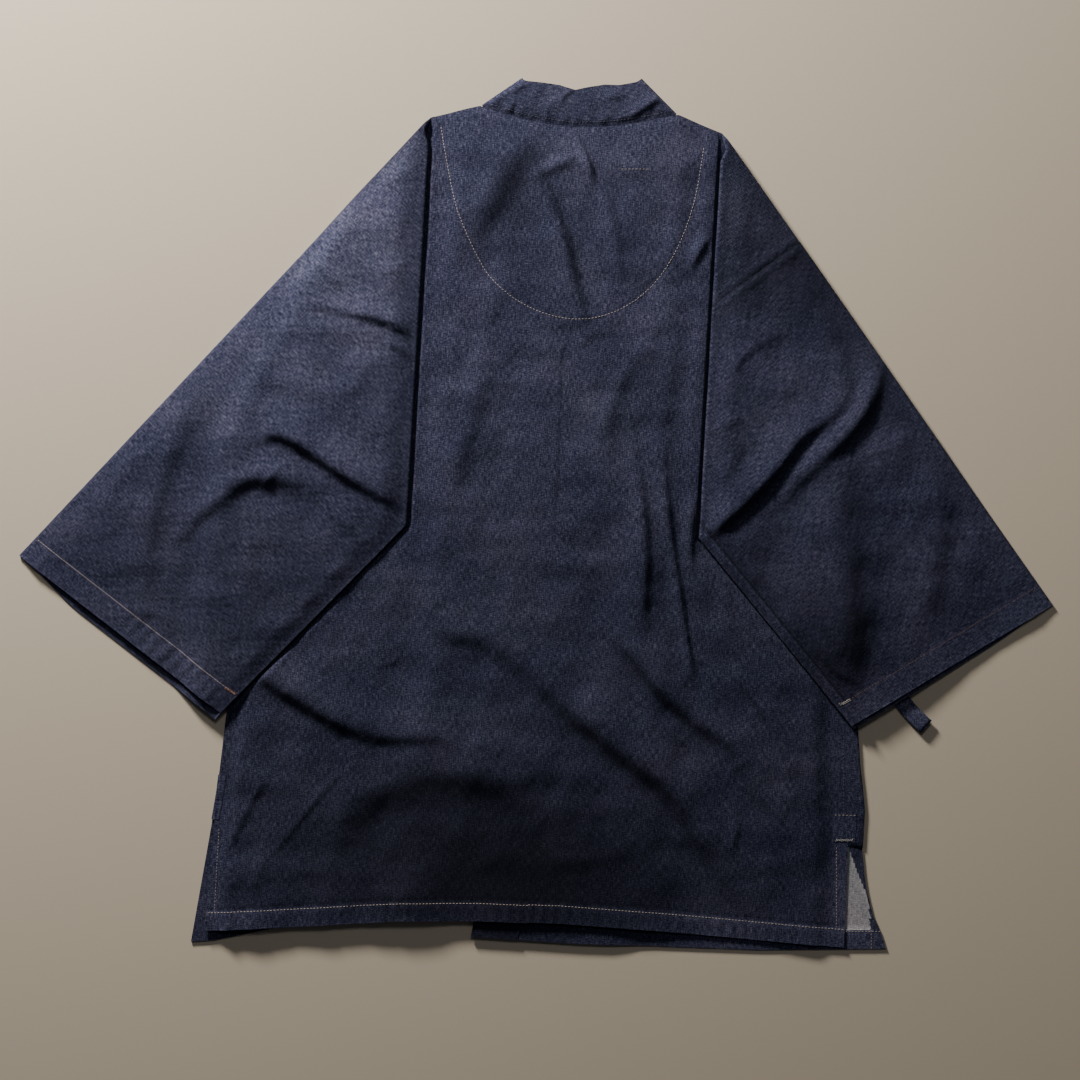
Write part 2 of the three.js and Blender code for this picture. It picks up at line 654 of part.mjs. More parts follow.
function sideTie() {
  return tie('tie_right', RIGHT, new THREE.CubicBezierCurve(
    new THREE.Vector2(290.7, -398),
    new THREE.Vector2(315, -441),
    new THREE.Vector2(333, -523),
    new THREE.Vector2(371, -556),
  ));
}

// It hangs from the left front's open edge and lies along it, under the right front.
function edgeTie() {
  const reach = (v, away) => new THREE.Vector2(-frontEdge(LEFT, v) + away, v);
  const curve = new THREE.CubicBezierCurve(reach(-386, 8.6), reach(-440, 10), reach(-500, 10.5), reach(-560, 11));
  return tie('tie_left', RIGHT, curve);
}

// ---- patches over the tops of the side slits ----
function rightPatch() {
  const height = FLOOR_MIDDLE + PITCH / 2 + CLOTH / 2 + SEAM_GAP + 0.1;
  const columns = [287, 300, 312.5].map((u) => [[u, -642], [u, -656], [u + 0.5, -670]]);
  const at = (rise) => ([x, y]) => new THREE.Vector3(x, y, height + rise);
  return wallMesh('patch_right', RIGHT, gridSurface(columns), at(0.8), at(0), denim('#1c2438'));
}

// It is turned round the edge, down to the surface.
function leftPatch() {
  const thick = 0.8;
  const top = FLOOR_MIDDLE + PITCH / 2 + CLOTH / 2 + SEAM_GAP + 0.1 + thick;
  const levels = [-640, -661, -683];
  const edge = (v) => along(LEFT.frontSide, v) + 0.5;
  const outer = [
    (v) => [edge(v) - 12, v, top],
    (v) => [edge(v) + thick - 1, v, top],
    (v) => [edge(v) + thick, v, top - 1],
    (v) => [edge(v) + thick, v, 0.2],
  ];
  const inner = [
    (v) => [edge(v) - 12, v, top - thick],
    (v) => [edge(v) - 0.6, v, top - thick],
    (v) => [edge(v), v, top - thick - 0.6],
    (v) => [edge(v), v, 0.2],
  ];
  const columns = outer.map((unused, k) => levels.map((v) => [k, v]));
  const at = (profile) => ([k, v]) => new THREE.Vector3(...profile[k](v));
  return wallMesh('patch_left', LEFT, gridSurface(columns), at(outer), at(inner), denim('#1c2438'));
}

function denim(color) {
  return new THREE.MeshStandardMaterial({ color, roughness: 0.9, metalness: 0 });
}

// ---- the jacket ----
const jacket = new THREE.Group();
jacket.name = 'denim_kimono';
jacket.add(
  backPanel('back_left', LEFT),
  backPanel('back_right', RIGHT),
  frontPanel('front_left', LEFT),
  frontPanel('front_right', RIGHT),
  sleeve('sleeve_left', LEFT),
  sleeve('sleeve_right', RIGHT),
  collar('collar_left', LEFT),
  collar('collar_right', RIGHT),
  sideTie(),
  edgeTie(),
  rightPatch(),
  leftPatch(),
);
jacket.position.set(-JACKET_CENTRE[0], -JACKET_CENTRE[1], 0);

export default jacket;
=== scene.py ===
# %% [markdown]
# # A denim kimono jacket, laid face down
# The jacket is cut from straight panels of denim and laid on its front, with both sleeves folded back in a
# pleat at the shoulder. The frame gives the place of every solid. This lesson makes each panel again as fine
# cloth on the form of its solid, with creases, seams, stitches and a woven finish.

# %% Load the frame
import math
from types import SimpleNamespace

import bpy
import numpy as np
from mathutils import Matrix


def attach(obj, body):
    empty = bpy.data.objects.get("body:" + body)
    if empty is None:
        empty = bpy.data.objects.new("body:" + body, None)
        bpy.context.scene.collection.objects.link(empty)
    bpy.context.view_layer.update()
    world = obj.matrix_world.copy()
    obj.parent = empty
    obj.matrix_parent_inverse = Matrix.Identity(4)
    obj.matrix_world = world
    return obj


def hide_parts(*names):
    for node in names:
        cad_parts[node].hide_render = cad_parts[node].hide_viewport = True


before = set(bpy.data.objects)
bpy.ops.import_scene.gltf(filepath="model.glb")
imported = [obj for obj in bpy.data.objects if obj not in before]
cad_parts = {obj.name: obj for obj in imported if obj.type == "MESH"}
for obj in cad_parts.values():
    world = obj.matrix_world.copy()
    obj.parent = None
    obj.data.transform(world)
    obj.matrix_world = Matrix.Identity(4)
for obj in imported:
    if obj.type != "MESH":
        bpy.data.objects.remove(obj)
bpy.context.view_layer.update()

# %% [markdown]
# ## The camera
# The jacket is seen from straight above, turned a little on the floor. A camera that looks down has no
# slant to fit: its height and the width that it takes in set the lens, and one turn about the vertical
# lays the jacket at its angle.

# %% Camera
MM = 0.001
JACKET_CENTRE = (-10.4, -376.1)  # middle of the laid-out jacket, from the back neck seam, mm
VIEW_MIDDLE = (-8.8, -397.6)  # middle of the view, from the back neck seam, mm
VIEW_WIDTH = 1036.8  # mm across the view at the floor
VIEW_TURN = math.radians(3.3)
CAMERA_HEIGHT = 1900.0  # mm

camera_data = bpy.data.cameras.new("overhead")
camera_data.sensor_width = 36.0
camera_data.lens = camera_data.sensor_width * CAMERA_HEIGHT / VIEW_WIDTH
camera = bpy.data.objects.new("overhead", camera_data)
camera.location = (
    (VIEW_MIDDLE[0] - JACKET_CENTRE[0]) * MM,
    (VIEW_MIDDLE[1] - JACKET_CENTRE[1]) * MM,
    CAMERA_HEIGHT * MM,
)
camera.rotation_euler = (0, 0, VIEW_TURN)
bpy.context.scene.collection.objects.link(camera)
bpy.context.scene.camera = camera
print("lens", round(camera_data.lens, 1), "mm")

# %% [markdown]
# ## The flat cut
# Every panel is drawn flat first, as its maker cuts it: u runs outward from the centre back and v up towards
# the neck, in millimetres. The two sides lie a little differently, so each has its own row of sizes.

# %% Sizes of the cloth and the cut
CLOTH = 1.0  # wall of one layer of denim
PITCH = 1.5  # middle of one layer to the middle of the next
SEAM_GAP = 0.3  # between the collar band and the front beside it
CLOSED_SEAM = 0.006  # two edges that a seam holds together
BAND_WIDTH = 45  # collar band
BAND_THICK = 2.0  # the band is denim folded double
HEM_DEPTH = 19  # turned-up hem
HEM_EXTRA = 0.5  # how far the back's hem stands proud of the panel
TURNED_EXTRA = 0.8 * HEM_EXTRA  # and the fronts' hems and slit edges
CUFF_HEM = 24
TIE_WIDTH = 16
TIE_THICK = 1.6
FLOOR_MIDDLE = (PITCH + CLOTH) / 2  # midway between a front and a back that lie flat
OVERLAP_RISE = 2.3  # the upper front over the lower front's band
OVERLAP_FLAT = 24  # how far past the lower front's edge it stays up
OVERLAP_FADE = 40  # and the width over which it comes down
BACK_RISE = 3.3  # the back over both fronts
RISE_HALF_WIDTH = 100  # the back is raised this far each side of the centre
# the width over which it comes down, at the shoulder and at the hem, and where one grows to the other
RISE_FADE = {"shoulder": 28, "hem": 70, "from": -400, "over": 380}
FALL_START = 22  # a folded-back sleeve starts to come down this far past the body's edge
HALF_BEND = math.pi * PITCH / 2  # cloth taken by half a crease
TIP_SIMPLE = 10  # within this of the shoulder point the pleat is one plain step
TIP_FULL = 28  # beyond this it is a full Z
SHOULDER_RISE = 30  # the fronts come up to the back over this length below the shoulder
STRIP_TOP = -650  # the edges beside the slits are turned in below this

LEFT = SimpleNamespace(
    name="left",
    sign=-1,
    shoulder=(136.6, 0.8),
    turn=math.radians(50.1),
    side=[(1, 286.6), (-330, 284), (-655, 304), (-790, 308)],
    front_side=[(1, 286.6), (-330, 284), (-655, 304), (-700, 309), (-802, 321)],
    strip=[(-640, 292), (-802, 311)],
    wrap_end=None,
    sleeve_top=713,
    underarm=[(284, -260), (427, -250), (700, -243)],
    cuff=[(1, 713), (-243, 690)],
    cuff_slip=8,
    hem=[(-20, -764), (45, -765), (122, -769), (218, -780), (310, -790)],
    front_hem=[(-60, -768), (45, -760), (122, -765), (218, -778), (300, -799), (325, -802)],
    edge_top=50,
    edge_shift=103,
    sleeve_fall=30,  # width over which the sleeve comes down to the floor
    swung_light=0.1,  # painted light on the back where it swings round with the sleeve; below nought it is painted shade
    side_inset=(8, 14),  # the back's relief starts this far in from the side, and is full after this width
    clear_over=5,  # beside the folded sleeve it starts over this width
    seam_bulk=0.2,  # height of the armhole seam
    seam_dark=0.12,  # and how dark its groove is
    cuff_swell=0.8,  # share of the sleeve's relief that reaches the cuff
    # painted light that makes the patch paler than the cloth, against the shade on its turned edge
    patch_light=1.4,
    lower_edge=((131, -383), (308, -585)),
    neck_point=(90.2, 14),
    collar_top=[(0, 34.2), (15, 38.9), (30, 41.2), (51.6, 43.5)],
)
RIGHT = SimpleNamespace(
    name="right",
    sign=1,
    shoulder=(143.2, 1.5),
    turn=math.radians(51.7),
    side=[(1, 271), (-330, 278), (-673, 302.5), (-771, 304.5)],
    front_side=[
        (1, 271), (-330, 278), (-440, 286), (-530, 301), (-569, 306), (-595, 309), (-618, 313), (-638, 316),
        (-672, 316), (-698, 320), (-715, 323.5), (-738, 330.5), (-754, 339), (-770, 345),
    ],
    strip=[(-660, 300), (-676, 304), (-693, 311.5), (-712, 320.5), (-732, 327), (-753, 329.5)],
    wrap_end=-675,
    sleeve_top=695,
    underarm=[(277, -250), (451, -239), (690, -222)],
    cuff=[(1, 695.4), (-222, 678.7)],
    cuff_slip=4,
    hem=[(-20, -764), (31, -763), (128, -765), (214, -768), (306, -771)],
    front_hem=[(-60, -781), (47, -782), (129, -780), (225, -778), (345, -770)],
    edge_top=58,
    edge_shift=111,
    sleeve_fall=130,
    # painted shade on the back where it swings round with this sleeve
    swung_light=-0.34,
    side_inset=(14, 20),
    clear_over=3.4,
    seam_bulk=0.85,
    seam_dark=0.3,
    cuff_swell=0.35,
    patch_light=1.35,
    lower_edge=((145.5, -389), (300, -557)),
    neck_point=(100, 16.4),
    collar_top=[(0, 34.2), (14, 38.7), (28, 42.4), (42, 43.4), (63.2, 49.4)],
)
NECKLINE = [(-5, -1.2), (0, -1.2), (30, 0.8), (50, 3.8), (70, 8.5)]
CENTRE_SEAM = [(40, 0), (0, 0), (-90, 7), (-185, 12), (-225, 2), (-330, 5), (-790, 0)]


def smooth(share):
    """From 0 to 1 with an easy start and end."""
    t = np.clip(share, 0, 1)
    return t * t * (3 - 2 * t)


def bell(t):
    """One at nought, and nothing a few units to either side."""
    return np.exp(-(t**2))


def along(table, value):
    """The second column of a table, read at a value of its first."""
    rows = sorted(table)
    return np.interp(value, [row[0] for row in rows], [row[1] for row in rows])


def top_edge(side, u):
    """Neckline, shoulder and sleeve top in one line."""
    rows = [*NECKLINE, side.neck_point, side.shoulder, (side.sleeve_top, side.shoulder[1])]
    return along(rows, u)


def centre_seam(side, v):
    return side.sign * along(CENTRE_SEAM, v) + CLOSED_SEAM / 2


def front_edge(side, v):
    return side.edge_top - side.edge_shift * (20 - v) / 800


def band_seam(side, v):
    return front_edge(side, np.minimum(v, -30)) + BAND_WIDTH


print("half back", LEFT.side[-1][1], "mm at the hem; sleeve", LEFT.sleeve_top - LEFT.side[0][1], "mm long")

# %% [markdown]
# ## The pleat at the shoulder
# The front and back layers are folded together in a Z about each shoulder point, which swings the sleeve
# down beside the body. Cloth can't stretch, so each point of the cut is turned, mirrored or left alone by
# which of the two creases it lies past, and it runs round each crease on a small half circle. Doing this as
# a formula keeps every layer the right distance from the next.

# %% Folding a point of the cut
def sleeve_fall(side, u, v):
    pu, pv = side.shoulder
    edge = np.minimum(pu + (pv - v) * math.tan(side.turn / 2), along(side.side, v))
    return 1 - smooth((u - edge - FALL_START) / side.sleeve_fall)


def pleat_point(side, r, angle):
    pu, pv = side.shoulder
    half = side.turn / 2
    across = r * np.sin(angle - half)
    down = r * np.cos(angle - half)
    bend = (np.clip(across, -HALF_BEND, HALF_BEND) + HALF_BEND) / PITCH
    reach = np.minimum(across, -HALF_BEND) + PITCH * np.sin(bend)
    first = [
        pu + down * math.sin(half) + reach * math.cos(half),
        pv - down * math.cos(half) + reach * math.sin(half),
        PITCH * (1 - np.cos(bend)),
    ]
    across2 = r * np.sin(angle - side.turn)
    bend2 = np.clip((across2 + HALF_BEND) / PITCH, 0, math.pi)
    wide = np.maximum(np.abs(across2), HALF_BEND)
    second = [
        pu + wide - PITCH * np.sin(bend2),
        pv - r * np.cos(angle - side.turn),
        PITCH * (3 - np.cos(bend2)),
    ]
    near_first = (across < HALF_BEND) & (angle < 1.5 * half)
    return [np.where(near_first, one, two) for one, two in zip(first, second)]


def fold_point(side, u, v):
    """Cut to folded jacket: u, v and the height midway between the front and back layers."""
    pu, pv = side.shoulder
    r = np.hypot(u - pu, v - pv)
    angle = np.arctan2(u - pu, pv - v)
    half = side.turn / 2
    start = half - np.minimum(HALF_BEND / np.maximum(r, 1e-6), 0.45 * half)
    flat = (r < 1e-6) | (angle <= start) | (angle > 0.75 * math.pi)
    share = (angle - start) / (math.pi / 2 - start)
    swung = start + share * (math.pi / 2 - side.turn - start)
    step = [
        pu + r * np.sin(swung),
        pv - r * np.cos(swung),
        4 * PITCH * smooth(share / 0.6) * smooth(r / TIP_SIMPLE),
    ]
    pleat = pleat_point(side, r, angle)
    blend = smooth((r - TIP_SIMPLE) / (TIP_FULL - TIP_SIMPLE))
    fu, fv, height = [plain + blend * (full - plain) for plain, full in zip(step, pleat)]
    height = FLOOR_MIDDLE + height * sleeve_fall(side, fu, fv)
    return np.where(flat, u, fu), np.where(flat, v, fv), np.where(flat, FLOOR_MIDDLE, height)


def fold_normal(side, u, v):
    step = 0.05
    across = np.stack(fold_point(side, u + step, v)) - np.stack(fold_point(side, u - step, v))
    up = np.stack(fold_point(side, u, v + step)) - np.stack(fold_point(side, u, v - step))
    normal = np.cross(across, up, axis=0)
    return normal / np.linalg.norm(normal, axis=0)


def across_second_crease(side, u, v):
    pu, pv = side.shoulder
    return (u - pu) * math.cos(side.turn) - (pv - v) * math.sin(side.turn)


def back_rise(x, y):
    lower = smooth((RISE_FADE["from"] - y) / RISE_FADE["over"])
    fade = RISE_FADE["shoulder"] + (RISE_FADE["hem"] - RISE_FADE["shoulder"]) * lower
    return BACK_RISE * (1 - smooth((np.abs(x) - RISE_HALF_WIDTH) / fade))


def front_rise(side, x, y):
    if side is LEFT:
        return 0 * x
    return OVERLAP_RISE * (1 - smooth((x + front_edge(LEFT, y) - OVERLAP_FLAT) / OVERLAP_FADE))


tip = [float(value) for value in fold_point(LEFT, np.float64(713.0), np.float64(0.8))]
print("the left cuff's top corner folds to", [round(value, 1) for value in tip])

# %% [markdown]
# ## Folds
# Worn denim keeps soft, uneven folds: each has a crest, a steep side and a side that eases away. A row here
# is the line where one drops: points over the jacket from the back neck seam, each with the fold's height
# there, then how far the steep side and the easy side reach. Walking along a row, its crest is on the left.
# The large ones follow the solids, and the fine ones are only here. Folds are placed one by one, because
# cloth that was laid down and smoothed keeps its own creases, which a simulation wouldn't find.

# %% Fold tables
BODY_SWELL = 3.6
BODY_FOLDS = [
    # points (x, y, height), steep side, easy side; all mm
    ([(-268, -547, 4), (-230, -569, 5.6), (-185, -591, 5), (-146, -600, 4.2), (-103, -593, 3.2),
      (-72, -601, 0)], 5, 34),
    ([(-192, -724, 0), (-177, -686, 2.6), (-143, -648, 4.4), (-82, -635, 5.4), (-33, -641, 4.8),
      (-3, -662, 0)], 15, 44),
    ([(-110, -482, 0), (-94, -497, 3), (-61, -498, 3), (-41, -510, 2.5), (-11, -532, 3), (7, -547, 4),
      (35, -570, 5), (65, -590, 6), (92, -611, 6), (115, -624, 6), (141, -653, 4.5), (162, -686, 3.5),
      (182, -714, 2.5), (201, -737, 1.5)], 8, 30),
    ([(60, -482, 0), (79, -500, 4), (105, -531, 5.5), (127, -551, 5.5), (150, -568, 4.5), (177, -581, 3),
      (193, -602, 2), (205, -629, 1.5), (227, -648, 1.5), (242, -654, 0)], 6, 22),
    ([(172, -505, 0), (201, -537, 2.2), (222, -565, 2), (240, -604, 1.5), (255, -634, 0)], 3.5, 14),
    ([(100, -484, 0), (96, -449, 3.2), (97, -411, 3.6), (92, -368, 3), (83, -325, 1.4),
      (75, -287, 0)], 3.4, 16),
    ([(152, -533, 0), (141, -495, 2.4), (133, -457, 3), (125, -419, 3), (116, -376, 2.6), (109, -333, 1.6),
      (105, -295, 0)], 2, 10),
    ([(141, -423, 0), (137, -394, 2), (137, -365, 1.4), (139, -341, 0)], 2, 8),
    ([(76, -327, 0), (47, -298, 1.8), (61, -249, 3), (77, -222, 1.4), (99, -203, 0)], 9, 12),
    ([(-80, -356, 0), (-87, -335, 1.6), (-77, -296, 2.2), (-65, -257, 1.6), (-65, -220, 0)], 8, 22),
    ([(22, -177, 2), (12, -146, 3.6), (1, -109, 4), (-12, -76, 3.4), (-29, -45, 2.2),
      (-42, -25, 0)], 4.4, 16),
    ([(-100, -134, 0), (-75, -95, 5), (-57, -62, 5.4), (-42, -28, 4), (-31, -9, 0)], 13, 26),
    ([(25, -56, 0), (21, -40, 3.4), (12, -20, 3.4), (2, -4, 2)], 1.7, 7),
    ([(-40, -60, 0), (-20, -46, 3), (1, -36, 2.4), (9, -31, 0)], 4, 8),
    ([(122, -134, 0), (126, -121, 3.4), (133, -107, 3.4), (138, -97, 0)], 2.2, 8),
    ([(58, -148, 0), (51, -110, 1.8), (40, -68, 1.8), (30, -44, 0)], 4, 13),
    ([(14, -212, 0), (28, -203, 1.6), (39, -193, 0)], 3, 8),
    ([(-85, -248, 0), (-56, -254, 0.8), (-17, -249, 0)], 1.6, 6),
    ([(-5, -373, 0), (6, -387, 1), (22, -401, 0)], 3, 8),
    ([(-299, -742, 0), (-294, -722, 1.4), (-279, -690, 1.4), (-266, -660, 1), (-254, -630, 0)], 2, 8),
    ([(-250, -722, 0), (-236, -700, 1.1), (-214, -668, 1.4), (-192, -640, 1), (-182, -628, 0)], 1.8, 6),
    ([(-265, -763, 0), (-256, -731, 1.4), (-247, -702, 0)], 2.4, 9),
    ([(-163, -530, 0), (-141, -524, 0.9), (-116, -513, 0)], 1.3, 5),
    ([(-3, -695, 0), (28, -709, 1.6), (67, -705, 1.6), (104, -689, 0)], 8, 16),
    ([(-65, -720, 0), (-37, -715, 1.4), (-22, -698, 0)], 4, 9),
    ([(193, -694, 0), (196, -669, 1.6), (198, -641, 0)], 2.4, 8),
    ([(183, -622, 0), (191, -605, 1.2), (205, -597, 0)], 1.6, 5),
    ([(190, -482, 0), (212, -481, 1.4), (239, -489, 0)], 4, 8),
    ([(179, -478, 0), (176, -445, 1.6), (172, -411, 0)], 3.5, 10),
    ([(49, -94, 0), (76, -122, 0.9), (99, -134, 0)], 2.5, 8),
    ([(37, -28, 0), (59, -43, 0.7), (79, -56, 0)], 2.5, 7),
]
SLEEVE_SWELL = 3.0
SLEEVE_FOLDS = {}
SLEEVE_FOLDS["left"] = [
    ([(-281, -321, 1), (-264, -313, 5), (-234, -329, 6), (-194, -354, 5), (-140, -378, 3)], 3.4, 24),
    ([(-367, -438, 0), (-346, -412, 1.5), (-328, -391, 3.4), (-312, -379, 4.2), (-295, -362, 4.6),
      (-278, -357, 4.4), (-256, -359, 3), (-234, -361, 0)], 5.5, 18),
    ([(-271, -361, 2), (-263, -349, 2.2), (-255, -335, 0)], 2.5, 6),
    ([(-379, -477, 0), (-379, -438, 2.4), (-376, -400, 3.2), (-369, -361, 3), (-359, -326, 2.4),
      (-344, -290, 0)], 7, 24),
    ([(-276, -492, 0), (-275, -461, 1.6), (-280, -433, 1.4), (-273, -394, 0)], 5, 16),
    ([(-220, -369, 0), (-199, -397, 1.4), (-169, -415, 0)], 3.5, 12),
    ([(-234, -190, 1), (-203, -194, 2.6), (-172, -198, 4), (-149, -208, 4.6)], 2.8, 13),
    ([(-169, -220, 0), (-155, -223, 3), (-142, -233, 4)], 2, 8),
    ([(-217, -294, 0), (-194, -269, 1.8), (-170, -245, 0)], 10, 18),
    ([(-251, -144, 0), (-237, -149, 1.1), (-216, -167, 1.1), (-205, -170, 0)], 1.8, 6),
    ([(-226, -104, 0), (-217, -92, 1.2), (-208, -82, 0)], 1.8, 6),
    ([(-277, -277, 0), (-265, -287, 0.9), (-252, -300, 0)], 1.3, 5),
    ([(-176, -159, 0), (-167, -151, 0.9), (-160, -145, 0)], 2, 6),
    ([(-407, -488, 0), (-378, -492, 1), (-349, -496, 0)], 3, 9),
    ([(-428, -465, 0), (-405, -451, 0.9), (-381, -444, 0)], 8, 14),
]
SLEEVE_FOLDS["right"] = [
    ([(209, -366, 0), (224, -348, 1.8), (239, -329, 3), (254, -311, 4.2), (274, -292, 5.4), (293, -269, 6.3),
      (304, -245, 6), (313, -216, 4.5), (324, -191, 2)], 6, 16),
    ([(146, -394, 5), (163, -377, 6), (183, -359, 6), (204, -335, 6), (222, -312, 5.5), (237, -288, 4.5),
      (259, -271, 3), (279, -250, 2), (281, -219, 0)], 3.8, 20),
    ([(297, -524, 2), (302, -490, 5.6), (298, -457, 6), (293, -409, 4.6), (288, -361, 4), (284, -313, 2.6),
      (289, -284, 0)], 15, 30),
    ([(367, -482, 0), (373, -443, 1.8), (379, -394, 2), (379, -346, 1.6), (371, -308, 0)], 9, 24),
    ([(150, -287, 2), (163, -280, 2.2), (180, -271, 0)], 3.4, 10),
    ([(161, -342, 0), (170, -320, 1.8), (183, -296, 0)], 4.5, 12),
    ([(281, -248, 0), (275, -220, 1.6), (264, -185, 1.6), (242, -149, 0)], 7, 16),
    ([(205, -106, 0), (200, -83, 1.4), (187, -50, 1.2), (173, -22, 0)], 6, 12),
    ([(251, -467, 0), (261, -488, 2.6), (278, -510, 2.8), (298, -517, 1)], 2.6, 9),
    ([(163, -238, 0), (175, -214, 1.2), (193, -198, 1.2), (218, -188, 0)], 2.4, 8),
    ([(284, -310, 0), (312, -295, 1), (352, -281, 0)], 2.6, 8),
    ([(191, -436, 0), (204, -419, 1.4), (208, -400, 0)], 4, 9),
    ([(435, -425, 0), (452, -410, 1.2), (468, -401, 0)], 4, 9),
    ([(309, -399, 0), (341, -382, 1), (363, -338, 0)], 8, 16),
]


def soften(points, rounds=2):
    """Rounds the corners of a row of points, and keeps both ends."""
    path = [np.array(p, float) for p in points]
    for _ in range(rounds):
        cut = [path[0]]
        for a, b in zip(path, path[1:]):
            cut += [0.75 * a + 0.25 * b, 0.25 * a + 0.75 * b]
        path = cut + [path[-1]]
    return path


def path_distance(path, x, y):
    nearest = np.full(np.shape(x), 1e9)
    for (ax, ay), (bx, by) in zip(path, path[1:]):
        length2 = (bx - ax) ** 2 + (by - ay) ** 2
        t = np.clip(((x - ax) * (bx - ax) + (y - ay) * (by - ay)) / length2, 0, 1)
        nearest = np.minimum(nearest, np.hypot(x - ax - t * (bx - ax), y - ay - t * (by - ay)))
    return nearest


def one_fold(points, steep, easy, x, y):
    nearest = np.full(np.shape(x), 1e9)
    height, across, beyond = np.zeros((3, *np.shape(x)))
    last = len(points) - 2
    for k, (a, b) in enumerate(zip(points, points[1:])):
        (ax, ay, _), (dx, dy, rise) = a, b - a
        length = math.hypot(dx, dy)
        t = np.clip(((x - ax) * dx + (y - ay) * dy) / length**2, 0, 1)
        ox, oy = x - ax - t * dx, y - ay - t * dy
        distance = np.hypot(ox, oy)
        left = (dx * oy - dy * ox) / length
        past_end = ((k == 0) & (t <= 0)) | ((k == last) & (t >= 1))
        closer = distance < nearest
        nearest = np.where(closer, distance, nearest)
        height = np.where(closer, a[2] + t * rise, height)
        across = np.where(closer, np.where(past_end, left, np.copysign(distance, left)), across)
        gone = np.sqrt(np.maximum(distance**2 - left**2, 0)) * past_end
        beyond = np.where(closer, gone, beyond)
    climb = 0.5 * (1 + np.tanh(across / steep))
    ease = bell(np.maximum(across, 0) / easy)
    height = height * bell(beyond / (0.6 * easy))
    return np.stack([height * climb * ease, height * 4 * climb * (1 - climb)])


def folds_at(rows, x, y):
    """The folds' summed height, and how much of it drops steeply here."""
    total = np.zeros((2, *np.shape(x)))
    for points, steep, easy in rows:
        line = soften(points)
        low, high = np.min(line, axis=0), np.max(line, axis=0)
        reach = 3 * easy
        near = (x > low[0] - reach) & (x < high[0] + reach) & (y > low[1] - reach) & (y < high[1] + reach)
        if near.any():
            total[:, near] += one_fold(line, steep, easy, x[near], y[near])
    return total


WAVES_SUMMED = 14


def ripples(x, y, wavelength, seed):
    """Uneven shallow waves of about one wavelength, from -1 to 1 or a little past."""
    dice = np.random.default_rng(seed)
    total = np.zeros(np.shape(x))
    for _ in range(WAVES_SUMMED):
        direction = dice.uniform(0, math.pi)
        length = wavelength * dice.uniform(0.65, 1.5)
        phase = dice.uniform(0, 2 * math.pi)
        run = x * math.cos(direction) + y * math.sin(direction)
        total += np.sin(2 * math.pi * run / length + phase)
    return total / math.sqrt(WAVES_SUMMED)


print("folds:", len(BODY_FOLDS), "on the back,", *map(len, SLEEVE_FOLDS.values()), "on the sleeves")

# %% [markdown]
# ## Relief of the uppermost layer
# Swell, folds, small ripples, the ridges of the seams and the grooves of the stitching are summed into one
# height over the plain stack. It fades to nothing where a sleeve lies on the body, so no layer cuts another.

# %% Relief
# the stitched line that holds the inner yoke, from one shoulder down and up to the other
YOKE = [
    (-126, -9), (-121, -32), (-109, -80), (-100, -101), (-86, -128), (-71, -151), (-41, -173.5),
    (-2, -186), (36.5, -183.5), (74, -162), (101, -127), (120, -73), (126, -15),
]


def fine_waves(x, y):
    """Waves of about 62, 24 and 9 mm, as cloth keeps after washing."""
    return 0.45 * ripples(x, y, 62, 3) + 0.2 * ripples(x, y, 24, 4) + 0.07 * ripples(x, y, 9, 5)


def hem_pucker(run, depth_in, band):
    """The small waves that stitching draws up in a hem, over the depth of its band."""
    inside = smooth((depth_in + 1) / 3) * (1 - smooth((depth_in - band) / 3))
    wave = np.sin(run / 1.9 + 1.3 * np.sin(run / 17)) * (0.6 + 0.4 * np.sin(run / 29 + 1))
    return 0.45 * wave * inside


def body_lift(side, u, v):
    """Relief of the back, where no sleeve lies on it."""
    x = side.sign * u
    (fu, fv), (tu, tv) = side.lower_edge
    below_sleeve = ((tu - fu) * (fv - v) + (tv - fv) * (u - fu)) / math.hypot(tu - fu, tv - fv)
    beside = side.shoulder[0] - u
    clear = smooth((np.maximum(beside, below_sleeve) - 0.6) / side.clear_over)
    inset, reach = side.side_inset
    from_side = smooth((along(side.side, v) - u - inset) / reach)
    from_top = 0.25 * smooth((top_edge(side, u) - v) / 7) + 0.75 * smooth((top_edge(side, u) - v) / 45)
    swell = BODY_SWELL + 1.25 * folds_at(BODY_FOLDS, x, v)[0] + 1.3 * fine_waves(x, v)
    if side is RIGHT:  # the back bulges beside this sleeve's pleat
        swell = swell + 2.6 * bell((beside - 8) / 16) * smooth((v + 395) / 40)
    soft = np.maximum(swell, 0) * clear * from_side * from_top
    above_hem = v - along(side.hem, u)
    hem = 2 * smooth((-700 - v) / 30) * smooth((-60 - x) / 60)
    soft = soft * (1 - 0.8 * smooth((x + 130) / 60) * (1 - smooth(above_hem / 100)))
    yoke = -0.5 * bell(path_distance(YOKE, x, v) / 1.6) * from_top
    seam = -0.08 * bell((u - centre_seam(side, v)) / 1.5) * smooth((v + 560) / 200)
    stitch = -0.6 * bell((above_hem - HEM_DEPTH + 1) / 1.8)
    wavy = 0.6 * smooth((60 - above_hem) / 60) * ripples(x, 0 * v, 120, 8) * from_side
    return hem + soft + np.maximum(wavy, -1.2) + yoke + seam + stitch + hem_pucker(x, above_hem, HEM_DEPTH)


